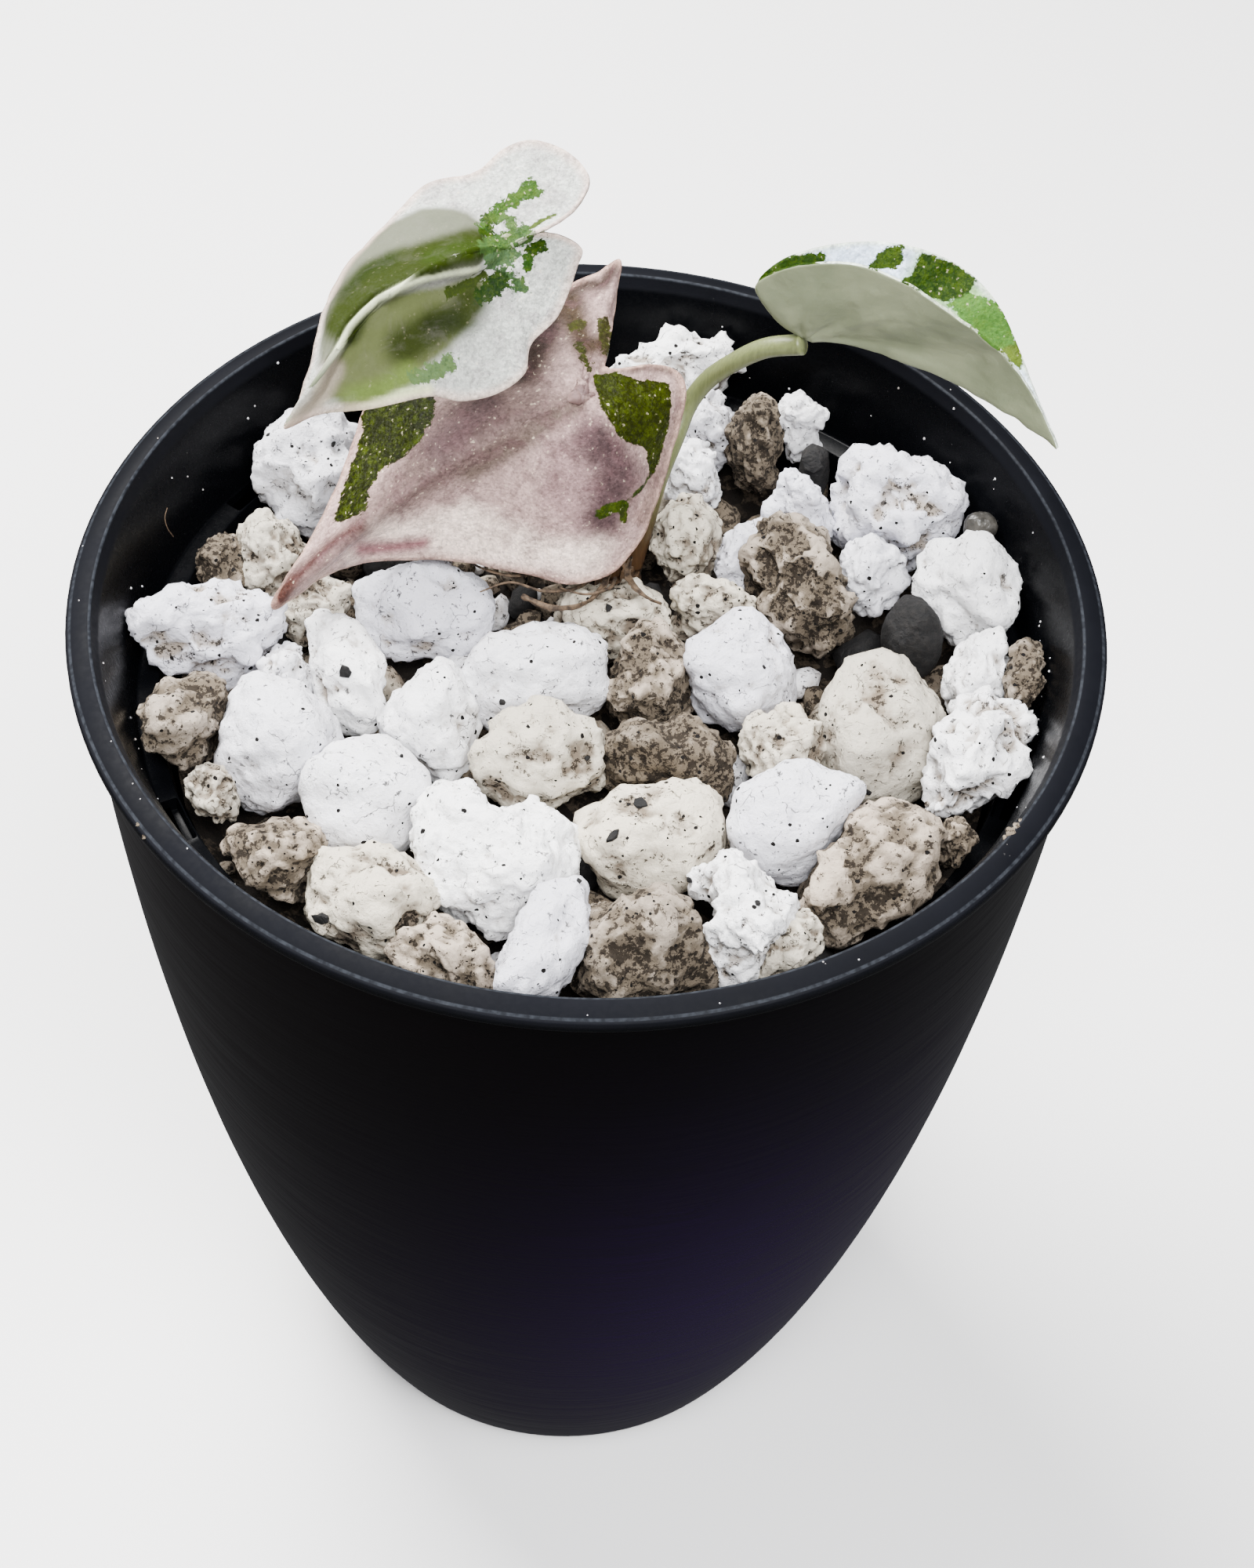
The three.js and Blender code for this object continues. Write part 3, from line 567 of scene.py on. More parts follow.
# what the two dark finishes are made of: a noise that mixes two colours, with its limits
CHARCOAL_SKIN = {"noise": (1.1, 5, 0.65), "limits": (0.35, 0.7), "dark": (14, 14, 16),
                 "pale": (48, 44, 42), "rough": 0.8, "specular": 0.3, "relief": 0.5}
CHARCOAL_BLOOM = {"cell": 1.4, "share": 0.1, "reach": 0.12, "colour": (130, 120, 108)}
PEBBLE_SKIN = {"noise": (0.5, 4, 0.6), "limits": (0.3, 0.7), "dark": (70, 68, 64),
               "pale": (128, 124, 116), "rough": 0.35, "specular": 0.4, "relief": 0.3}


def texture(kind, size, **settings):
    made = bpy.data.textures.new(f"{kind.lower()}_{size}", kind)
    made.noise_scale = size * MM
    for setting, value in settings.items():
        setattr(made, setting, value)
    return made


LUMPS = texture("CLOUDS", 5, noise_depth=1)
KNOBS = texture("VORONOI", 4.6, distance_metric="DISTANCE_SQUARED")
FOLDS = texture("CLOUDS", 2.4, noise_depth=2, noise_type="HARD_NOISE")
CELLS = texture("VORONOI", 1.9, distance_metric="DISTANCE_SQUARED")
GRIT = texture("CLOUDS", 0.9, noise_depth=3)

# the layers of a grain's relief: a texture, its depth in mm, and which of its values stays level
CRAGS = ((LUMPS, 2.4, 0.28), (KNOBS, -1.3, 0.16), (FOLDS, 1.3, 0.55), (CELLS, -0.35, 0.2),
         (GRIT, 0.5, 0.5))
DARK_CRAGS = ((LUMPS, 0.7, 0.5), (GRIT, 0.3, 0.5))
# a CAD grain with fewer faces than this is a small one, and is rounded once more
SMALL_GRAIN_FACES = 100
# soil gathers low on a grain: how much of it from foot to top, and how far down it is level
LOW_SOIL = {"amount": 0.22, "level": 0.3}


def displace(piece, pattern, depth, middle=0.5):
    modifier = piece.modifiers.new("relief", "DISPLACE")
    modifier.texture = pattern
    modifier.texture_coords = "GLOBAL"
    modifier.strength = depth * MM
    modifier.mid_level = middle


def link_piece(name, data):
    """A new object around a mesh or a curve."""
    piece = bpy.data.objects.new(name, data)
    bpy.context.scene.collection.objects.link(piece)
    return piece


def copy_of(node_name, name):
    """A new piece with the merged mesh of a CAD node."""
    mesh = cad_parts[node_name].data.copy()
    mesh.materials.clear()
    piece = link_piece(name, mesh)
    pick(piece)
    bpy.ops.object.mode_set(mode="EDIT")
    bpy.ops.mesh.select_all(action="SELECT")
    bpy.ops.mesh.customdata_custom_splitnormals_clear()
    bpy.ops.mesh.remove_doubles(threshold=0.01 * MM)
    bpy.ops.object.mode_set(mode="OBJECT")
    bpy.ops.object.shade_smooth()
    return name_piece(piece, name)


def corners(mesh):
    values = np.empty(len(mesh.vertices) * 3)
    mesh.vertices.foreach_get("co", values)
    return values.reshape(-1, 3)


def normals_of(mesh):
    values = np.empty(len(mesh.vertices) * 3)
    mesh.vertex_normals.foreach_get("vector", values)
    return values.reshape(-1, 3)


def set_attribute(mesh, name, values):
    made = mesh.attributes.new(name, "FLOAT", "POINT")
    made.data.foreach_set("value", np.asarray(values, dtype=np.float32))


def relief_of(mesh, rounds=14, reach=0.5 * MM):
    """How far each point stands out of its smoothed surroundings: 0.5 level, less in hollows."""
    points = corners(mesh)
    ends = np.empty(len(mesh.edges) * 2, dtype=np.int64)
    mesh.edges.foreach_get("vertices", ends)
    ends = ends.reshape(-1, 2)
    count = np.bincount(ends.ravel(), minlength=len(points))[:, None]
    smooth = points.copy()
    for _ in range(rounds):
        total = np.zeros_like(smooth)
        np.add.at(total, ends[:, 0], smooth[ends[:, 1]])
        np.add.at(total, ends[:, 1], smooth[ends[:, 0]])
        smooth = total / np.maximum(count, 1)
    height = np.sum((points - smooth) * normals_of(mesh), axis=1)
    return np.clip(0.5 + 0.5 * height / reach, 0, 1)


def mottled(tree, surface, place, skin, bloom=None):
    """Two colours mixed by a noise that also gives the relief, with pale specks if there are any."""
    pattern = noise(tree, place, *skin["noise"])
    colour = mix(tree, ramp(tree, pattern, *skin["limits"]), tone(*skin["dark"]),
                 tone(*skin["pale"]))
    if bloom:
        pale = specks(tree, place, bloom["cell"], bloom["share"], bloom["reach"])
        colour = mix(tree, pale, colour, tone(*bloom["colour"]))
    finish(tree, surface, colour, skin["rough"], skin["specular"], pattern, skin["relief"])


def charcoal():
    """A burnt crumb, black and dull, with a faint brown bloom."""
    made, tree, surface, place = new_material("charcoal")
    mottled(tree, surface, place, CHARCOAL_SKIN, CHARCOAL_BLOOM)
    return made


def grey_pebble():
    """Smooth wet-looking stone."""
    made, tree, surface, place = new_material("grey_pebble")
    mottled(tree, surface, place, PEBBLE_SKIN)
    return made


CRUSTS = {name: grain_crust(f"grain_{name}", shade) for name, shade in GRAIN_SHADE.items()}
CHARCOAL = charcoal()
PEBBLE_STONE = grey_pebble()


def shade_of(number):
    for name, numbers in FINISHES.items():
        if number in numbers:
            return name
    return "stained"


# the photograph's size in pixels, and where the camera stands in mm: what only the photograph
# places, such as a notch, a flake or a green patch, is placed by its pixels
PHOTO = {"width": 1600, "height": 2000, "focal": 4000}
CAMERA = {"place": (0, -250.54, 400.62), "lens": 72, "sensor": 36, "nearest": 0.01,
          "right": (0.9990, 0.0222, 0.0378), "up": (-0.0413, 0.7620, 0.6463),
          "back": (-0.0145, -0.6473, 0.7621)}


def in_photo(points):
    """The pixels of the photograph at which points in mm are seen."""
    away = points - np.array(CAMERA["place"])
    depth = -(away @ np.array(CAMERA["back"]))
    across = PHOTO["width"] / 2 + PHOTO["focal"] * (away @ np.array(CAMERA["right"])) / depth
    down = PHOTO["height"] / 2 - PHOTO["focal"] * (away @ np.array(CAMERA["up"])) / depth
    return np.stack([across, down], axis=1)


# bites out of a grain, each at a pixel of the photograph, with its radius in mm
BITES = {17: ((642, 998), 3.3), 24: ((891, 1163), 2.5)}
BITE_DEPTH = 40
REMESH = 0.36
BITE_SIDES = 20
BITE_SMOOTHING = {"factor": 0.5, "iterations": 6}
draw = random.Random(5)


def sight_through(spot):
    """The direction in which the camera sees a pixel of the photograph."""
    across = (spot[0] - PHOTO["width"] / 2) / PHOTO["focal"]
    down = (spot[1] - PHOTO["height"] / 2) / PHOTO["focal"]
    return Vector(CAMERA["right"]) * across - Vector(CAMERA["up"]) * down - Vector(CAMERA["back"])


def bitten(piece, spot, radius):
    """Cuts a round bite out of a grain along the line of sight, and rounds its edges."""
    sight = sight_through(spot)
    camera_place = Vector(CAMERA["place"])
    height = sum(vert.co.z for vert in piece.data.vertices) / len(piece.data.vertices) / MM
    middle = camera_place + sight * ((height - camera_place.z) / sight.z)
    select_none()
    bpy.ops.mesh.primitive_cylinder_add(vertices=BITE_SIDES, radius=radius * MM,
                                        depth=BITE_DEPTH * MM, location=middle * MM,
                                        rotation=sight.to_track_quat("Z", "Y").to_euler())
    cut(piece, bpy.context.object)
    net = piece.modifiers.new("net", "REMESH")
    net.mode = "VOXEL"
    net.voxel_size = REMESH * MM
    soft = piece.modifiers.new("soft", "SMOOTH")
    soft.factor = BITE_SMOOTHING["factor"]
    soft.iterations = BITE_SMOOTHING["iterations"]
    apply_modifiers(piece)
    pick(piece)
    bpy.ops.object.shade_smooth()


def rounded(piece, levels, kind="CATMULL_CLARK"):
    rounding = piece.modifiers.new("rounding", "SUBSURF")
    rounding.subdivision_type = kind
    rounding.levels = rounding.render_levels = levels


def grain(number):
    node_name = f"perlite_{number:02d}"
    piece = copy_of(node_name, f"grain_{number:02d}")
    is_dark = number in (*CHARCOAL_GRAINS, PEBBLE)
    if number in BITES:
        bitten(piece, *BITES[number])
    else:
        rounded(piece, 3 if len(piece.data.polygons) < SMALL_GRAIN_FACES else 2)
    for pattern, depth, middle in DARK_CRAGS if is_dark else CRAGS:
        displace(piece, pattern, depth * CRAGGY.get(number, 1.0), middle)
    apply_modifiers(piece)
    mesh = piece.data
    set_attribute(mesh, "relief", relief_of(mesh))
    heights = corners(mesh)[:, 2]
    low = (heights.max() - heights) / (heights.max() - heights.min())
    soil = SOILED.get(number, 0.0) + LOW_SOIL["amount"] * (low - LOW_SOIL["level"])
    set_attribute(mesh, "soil", soil)
    set_attribute(mesh, "tint", np.full(len(heights), draw.random()))
    dark_skin = PEBBLE_STONE if number == PEBBLE else CHARCOAL
    mesh.materials.append(dark_skin if is_dark else CRUSTS[shade_of(number)])
    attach(piece, "root")
    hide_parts(node_name)
    return piece


grains = [grain(number) for number in range(1, GRAIN_COUNT + 1)]

# Three leaves. Each is one thin blade on a round stalk: silvery above, with ragged patches of green
# where the leaf has colour at all, and matt and pale beneath. The oldest lies low and is flushed
# pink, the upper one is puckered along its midrib, and the right one is still half folded.
PIXELS_PER_MM = 10.7
LEAF_GRID = {"rays": 330, "rings": 52}
BLADE_THICKNESS = 0.42
LEAF_RELIEF = {"waves": 0.9, "quilt": 0.22}
# how much of its depth a vein loses towards its end
VEIN_FADE = 0.7
# a depth in pixels that lies outside every patch
FAR_OUTSIDE = -60.0
LIT_GREEN = (118, 138, 16)
GLINT = (236, 230, 224)
TOP_GLOW = (0.06, (1.0, 1.0, 0.7), 0.5)
UNDER_GLOW = (0.3, (1.0, 1.0, 0.8), 1.2)
STALK = {"foot": (140, 104, 66), "head": (176, 182, 138), "fades": (125, 140),
         "radii": (1.15, 1.1, 1.1, 1.15, 1.25)}
STALK_GLOW = (0.35, (1.2, 1.2, 0.6), 1.0)
TUBE_STEPS = 14


def stroke(line, brush, colour, **more):
    """An area of colour drawn along a line of pixels with a round brush."""
    return {"line": line, "brush": brush, "colour": colour, **more}


def shape(outline, colour, **more):
    """An area of colour inside an outline of pixels."""
    return {"outline": outline, "colour": colour, **more}


def vein(line, height, width):
    return {"line": line, "height": height, "width": width}


def rounded_loop(points, steps, is_closed=True):
    """Points along a smooth curve through the given ones, spaced by the root of their distance."""
    points = np.asarray(points, dtype=float)
    count = len(points)
    found = []
    for step in range(steps):
        reach = step / steps * count if is_closed else step / (steps - 1) * (count - 1)
        start = min(int(reach), count - 1 if is_closed else count - 2)
        along = reach - start
        if is_closed:
            p0, p1, p2, p3 = (points[(start + k) % count] for k in (-1, 0, 1, 2))
        else:
            p1, p2 = points[start], points[start + 1]
            p0 = points[start - 1] if start > 0 else 2 * p1 - p2
            p3 = points[start + 2] if start + 2 < count else 2 * p2 - p1
        t0, t1, t2 = (math.sqrt(np.linalg.norm(b - a)) for a, b in ((p0, p1), (p1, p2), (p2, p3)))
        slope1 = ((p1 - p0) / t0 - (p2 - p0) / (t0 + t1) + (p2 - p1) / t1) * t1
        slope2 = ((p2 - p1) / t1 - (p3 - p1) / (t1 + t2) + (p3 - p2) / t2) * t1
        cubic, square = along ** 3, along ** 2
        found.append(p1 * (2 * cubic - 3 * square + 1) + p2 * (3 * square - 2 * cubic)
                     + slope1 * (cubic - 2 * square + along) + slope2 * (cubic - square))
    return np.array(found)


def to_line(spots, line):
    """For each spot: distance in pixels to a line, the side it is on, and how far along it is."""
    line = np.asarray(line, dtype=float)
    lengths = np.linalg.norm(np.diff(line, axis=0), axis=1)
    starts = np.concatenate([[0], np.cumsum(lengths)])[:-1]
    nearest = np.full(len(spots), np.inf)
    side = np.ones(len(spots))
    along = np.zeros(len(spots))
    for a, b, length, start in zip(line, line[1:], lengths, starts):
        share = np.clip((spots - a) @ (b - a) / length ** 2, 0, 1)
        offset = spots - (a + share[:, None] * (b - a))
        distance = np.linalg.norm(offset, axis=1)
        closer = distance < nearest
        turn = (b - a)[0] * (spots - a)[:, 1] - (b - a)[1] * (spots - a)[:, 0]
        nearest = np.where(closer, distance, nearest)
        side = np.where(closer, np.where(turn < 0, -1, 1), side)
        along = np.where(closer, (start + share * length) / lengths.sum(), along)
    return nearest, side, along


def depth_in(spots, outline):
    """How deep in pixels each spot lies inside an outline, less than nothing outside it."""
    ring = list(outline) + [outline[0]]
    distance, _, _ = to_line(spots, ring)
    inside = np.zeros(len(spots), dtype=bool)
    for (x0, y0), (x1, y1) in zip(ring, ring[1:]):
        if y0 == y1:
            continue
        crosses = (spots[:, 1] < y0) != (spots[:, 1] < y1)
        reach = (x1 - x0) * (spots[:, 1] - y0) / (y1 - y0) + x0
        inside ^= crosses & (spots[:, 0] < reach)
    return np.where(inside, distance, -distance)


def smooth(values, low, high):
    share = np.clip((values - low) / (high - low), 0, 1)
    return share * share * (3 - 2 * share)


def area_depth(spots, area):
    """Depth in pixels inside an outline, or inside a line drawn with a thick brush."""
    if "brush" in area:
        return area["brush"] - to_line(spots, area["line"])[0]
    return depth_in(spots, area["outline"])


def eased(values, rounds):
    """Evens out values along a closed loop, each with its two neighbours, a number of times."""
    for _ in range(rounds):
        values = (np.roll(values, 1, axis=0) + np.roll(values, -1, axis=0) + 2 * values) / 4
    return values


def blade_points(leaf):
    """The blade's grid: rays from its hub to its margin, each bowed by the lift of its middle."""
    hub = np.array(leaf["hub"], dtype=float)
    up = np.array(leaf["up"], dtype=float)
    up /= np.linalg.norm(up)
    margin = np.array(leaf["margin"], dtype=float)
    middles = (hub + margin[:, :3]) / 2 + margin[:, 3:] * up
    rays = LEAF_GRID["rays"]
    ends = rounded_loop(margin[:, :3], rays)
    bows = eased(rounded_loop(middles, rays), leaf["ease"])
    rings = [hub[None, :]]
    for ring in range(1, LEAF_GRID["rings"] + 1):
        reach = ring / LEAF_GRID["rings"]
        rings.append((1 - reach) * (1 - 2 * reach) * hub + 4 * reach * (1 - reach) * bows
                     + reach * (2 * reach - 1) * ends)
    return np.concatenate(rings)


def blade_faces():
    rays = LEAF_GRID["rays"]
    faces = []
    for ring in range(LEAF_GRID["rings"]):
        for ray in range(rays):
            a, b = 1 + (ring - 1) * rays + ray, 1 + (ring - 1) * rays + (ray + 1) % rays
            if ring == 0:
                faces.append((0, a + rays, b + rays))
            else:
                faces.append((a, a + rays, b + rays, b))
    return faces


def folded(points, leaf):
    """Moves points towards the camera or away from it where the leaf is puckered."""
    spots = in_photo(points)
    sight = np.array(CAMERA["place"]) - points
    sight /= np.linalg.norm(sight, axis=1)[:, None]
    rise = np.zeros(len(points))
    for crest in leaf.get("crests", ()):
        distance, side, along = to_line(spots, crest["line"])
        over = side == crest["side"]
        size = smooth(along, 0, crest["start"]) * (1 - smooth(along, crest["end"], 1))
        near = np.exp(-(distance / crest["slope"]) ** 2)
        drop = smooth(distance, 0, crest["drop"])
        far = (1 - drop * (1 + crest["valley"])) * np.exp(-(distance / crest["reach"]) ** 2)
        rise += crest["height"] * size * np.where(over, near, far)
    for bulge in leaf.get("bulges", ()):
        rise += bulge["height"] * smooth(depth_in(spots, bulge["outline"]), 0, bulge["edge"])
    return points + sight * rise[:, None]


def veined(piece, leaf):
    """Presses the veins into the blade, as grooves above and ridges beneath."""
    mesh = piece.data
    points = corners(mesh)
    normals = normals_of(mesh)
    spots = in_photo(points / MM)
    for groove in leaf["veins"]:
        distance, _, along = to_line(spots, groove["line"])
        size = groove["height"] * (1 - VEIN_FADE * along)
        size = size * np.exp(-(distance / groove["width"]) ** 2)
        points = points + normals * (size * MM)[:, None]
    mesh.vertices.foreach_set("co", points.ravel())
    mesh.update()


def paint(piece, leaf, spots, from_edge):
    """Writes the blade's colours as attributes: a soft wash, and the ragged patches over it."""
    mesh = piece.data
    count = len(spots)
    wash = np.tile(tone(*leaf["base"]), (count, 1))
    gloss = np.ones(count)
    for area in leaf["washes"]:
        share = smooth(area_depth(spots, area), -area["soft"], area["soft"])
        wash += (np.array(tone(*area["colour"])) - wash) * share[:, None]
        gloss += (area.get("gloss", 1) - gloss) * share
    rim = leaf["rim"]
    share = (1 - smooth(from_edge, 0, rim["width"])) * rim["strength"]
    wash += (np.array(tone(*rim["colour"])) - wash) * share[:, None]
    deepest = np.full(count, FAR_OUTSIDE)
    colour = np.tile(tone(*leaf["patches"][0]["colour"]), (count, 1))
    ragged = np.full(count, 0.5)
    for area in leaf["patches"]:
        depth = area_depth(spots, area)
        more = depth > deepest
        deepest = np.where(more, depth, deepest)
        colour[more] = tone(*area["colour"])
        ragged[more] = area["ragged"]
    for name, values in (("wash", wash), ("patch", colour)):
        made = mesh.attributes.new(name, "FLOAT_COLOR", "POINT")
        made.data.foreach_set("color", values.astype(np.float32).ravel())
    set_attribute(mesh, "patch_depth", deepest / PIXELS_PER_MM)
    set_attribute(mesh, "ragged", ragged)
    set_attribute(mesh, "gloss", gloss)


def leaf_top(name, flush, amount):
    """The silvery upper skin: fine cells that glitter, a flush in clouds between the veins, and
    patches with torn edges that are full of bright cells."""
    made, tree, surface, place = new_material(name)
    gloss = mark(tree, "gloss")
    tear = math_node(tree, "SUBTRACT", noise(tree, place, 1.0, 6, 0.7, 0.3), 0.5)
    tear = times(tree, tear, times(tree, mark(tree, "ragged"), 4))
    inside = ramp(tree, math_node(tree, "ADD", mark(tree, "patch_depth"), tear), -0.07, 0.07)
    share = three_values(tree, cells_of(tree, place, 3.6)["Color"])
    cloud = noise(tree, place, 0.28, 5, 0.7, 0.6)
    mottle = noise(tree, place, 0.95, 5, 0.72)
    flushed = times(tree, times(tree, ramp(tree, cloud, 0.46, 0.66), gloss), amount)
    ground = mix(tree, flushed, mark(tree, "wash", "Color"), tone(*flush))
    bright = math_node(tree, "GREATER_THAN", share[0], 0.8)
    lit = ramp(tree, mottle, 0.44, 0.68)
    lit = math_node(tree, "MAXIMUM", times(tree, bright, 0.5), lit)
    green = mix(tree, times(tree, lit, 0.5), mark(tree, "patch", "Color"), tone(*LIT_GREEN))
    colour = mix(tree, inside, ground, green)
    glint = math_node(tree, "GREATER_THAN", share[1], 0.95)
    glint = times(tree, glint, ramp(tree, mottle, 0.48, 0.6))
    glint = times(tree, glint, times(tree, gloss, 0.26))
    colour = mix(tree, glint, colour, tone(*GLINT))
    glitter = times(tree, math_node(tree, "SUBTRACT", share[0], 0.5), 0.45)
    shade = times_plus(tree, math_node(tree, "SUBTRACT", mottle, 0.5), 1.5, glitter)
    colour = shaded(tree, colour, times_plus(tree, shade, gloss, 1.0))
    crinkle = noise(tree, place, 2.2, 4, 0.6)
    height = times(tree, times_plus(tree, share[1], 0.3, crinkle), gloss)
    rough = ramp(tree, share[2], 0.0, 1.0, 0.28, 0.46)
    rough = math_node(tree, "ADD", rough, ramp(tree, gloss, 0.0, 1.0, 0.3, 0.0))
    finish(tree, surface, colour, rough, 0.07, height, 0.3, 0.8, TOP_GLOW)
    return made


def leaf_under(name, pale, deep):
    """The matt underside: one pale colour that shows the cells only as a faint cloudiness."""
    made, tree, surface, place = new_material(name)
    cloud = noise(tree, place, 0.14, 3, 0.5)
    fine = noise(tree, place, 2.2, 3, 0.5)
    colour = mix(tree, ramp(tree, cloud, 0.35, 0.65), tone(*pale), tone(*deep))
    finish(tree, surface, colour, 0.6, 0.3, fine, 0.05, glow=UNDER_GLOW)
    return made


CREST = [(650, 314), (607, 339), (575, 346), (540, 352), (508, 367), (480, 380), (462, 396),
         (445, 415), (432, 440), (421, 462), (403, 493), (377, 525), (358, 552)]
HOOD = [(613, 335), (621, 312), (619, 297), (612, 281), (597, 270), (577, 267), (539, 268),
        (497, 285), (455, 320), (425, 370), (412, 420), (405, 470), (421, 462), (432, 440),
        (445, 415), (462, 396), (480, 380), (508, 367), (540, 352), (607, 339)]
UPPER_LEAF = {
    "slot": "leaf_white",
    "ease": 20,
    "hub": (-11, 28.5, 166),
    "up": (0, 0.35, 0.94),
    "margin": [
        (-8, 29, 168, 0), (-5, 30.5, 169, 0), (-2.5, 33, 170, 0), (-2, 35.5, 171, 0),
        (-5, 39, 172, 0), (-9, 40, 172.5, 0), (-12, 39.5, 171.5, 0), (-15, 37, 170, 0.5),
        (-20.5, 36, 168.5, 1), (-24.5, 31.5, 167, 1.5), (-29, 25.5, 165, 2), (-31.5, 18.5, 163, 3),
        (-32.5, 13, 160.5, 4), (-33.5, 9, 158.5, 5), (-35, 6.5, 157, 5.8), (-31.5, 9, 157, 5),
        (-25.5, 12, 155.5, 3), (-19, 15, 155, 1.5), (-15.5, 15.5, 154, 1),
        (-11.5, 16.5, 154.5, 0.5), (-8.5, 18.5, 156, 0), (-8, 21.5, 157.5, 0),
        (-5, 24.5, 159.5, 0), (-3, 29.5, 163, 0), (-2.5, 30.5, 164.5, 0), (-4, 30.5, 166, 0),
        (-7, 29.5, 167.5, 0)],
    "stalk": [(2.6, 22, 123), (-2, 31, 131), (-8, 40, 142), (-12, 43, 152), (-12.5, 38, 161),
              (-11, 29.2, 165.9)],
    "crests": [{"line": CREST, "side": 1, "height": 2.6, "start": 0.22, "end": 0.72, "slope": 34,
                "drop": 11, "valley": 0.4, "reach": 85}],
    "bulges": [{"outline": HOOD, "height": 0.9, "edge": 9}],
    "veins": [],
    "base": (218, 219, 217),
    "rim": {"colour": (226, 219, 214), "width": 1.6, "strength": 0.7},
    "washes": [
        shape(HOOD, (164, 167, 150), soft=5, gloss=0.1),
        shape([(425, 455), (465, 395), (502, 370), (560, 362), (607, 346), (622, 362), (603, 400),
              (575, 445), (520, 490), (455, 522), (400, 505)], (158, 166, 116), soft=9,
              gloss=0.12),
        stroke([(438, 420), (452, 388), (478, 357), (520, 338), (560, 325), (600, 313)], 22,
               (66, 86, 6), soft=8, gloss=0.1),
        stroke([(548, 330), (585, 318), (603, 318)], 10, (66, 96, 0), soft=9, gloss=0.1),
        stroke([(440, 376), (470, 345), (500, 332)], 7, (50, 74, 4), soft=9, gloss=0.1),
        stroke([(515, 440), (560, 415), (590, 402), (600, 385)], 25, (88, 104, 34), soft=15,
               gloss=0.25),
        stroke([(552, 415), (580, 408)], 12, (64, 80, 26), soft=12, gloss=0.25),
        stroke([(450, 508), (487, 498), (520, 478)], 15, (168, 184, 112), soft=11, gloss=0.3),
        stroke([(366, 556), (420, 533), (459, 524), (491, 513), (514, 503), (545, 497)], 7,
               (226, 228, 214), soft=5, gloss=0.3),
        # painted highlight: a thin pale line along the crest of the fold, where light catches it
        stroke([(405, 492), (430, 444), (445, 416), (462, 397), (480, 381), (508, 366), (540, 352),
               (575, 347), (607, 341)], 2.5, (226, 228, 218), soft=3, gloss=0.2),
        stroke([(360, 550), (400, 515), (425, 470)], 12, (205, 200, 190), soft=9, gloss=0.3)],
    "patches": [
        stroke([(617, 290), (635, 272), (652, 258), (668, 247), (680, 236)], 8, (92, 142, 40),
               ragged=1.1),
        stroke([(660, 256), (690, 246)], 3, (92, 142, 40), ragged=1.0),
        stroke([(620, 295), (624, 283)], 10, (48, 96, 4), ragged=1.15),
        stroke([(640, 276), (655, 290), (663, 300)], 7, (126, 160, 88), ragged=1.3),
        stroke([(622, 316), (645, 309), (668, 300)], 13, (104, 146, 72), ragged=1.15),
        stroke([(626, 330), (650, 325)], 13, (128, 162, 116), ragged=1.15),
        stroke([(671, 296), (688, 284), (708, 275)], 2.6, (118, 142, 48), ragged=0.25),
        stroke([(676, 318), (690, 312)], 10, (50, 100, 8), ragged=1.15),
        stroke([(674, 326), (672, 338)], 7, (64, 124, 18), ragged=1.15),
        stroke([(640, 345), (655, 352), (666, 366)], 8, (108, 146, 92), ragged=1.3),
        stroke([(620, 374), (632, 364), (640, 352)], 13, (46, 94, 18), ragged=1.15),
        stroke([(572, 373), (598, 362), (616, 350)], 7, (88, 110, 34), ragged=0.8),
        stroke([(530, 482), (560, 470), (572, 462)], 11, (158, 182, 134), ragged=1.0)],
}
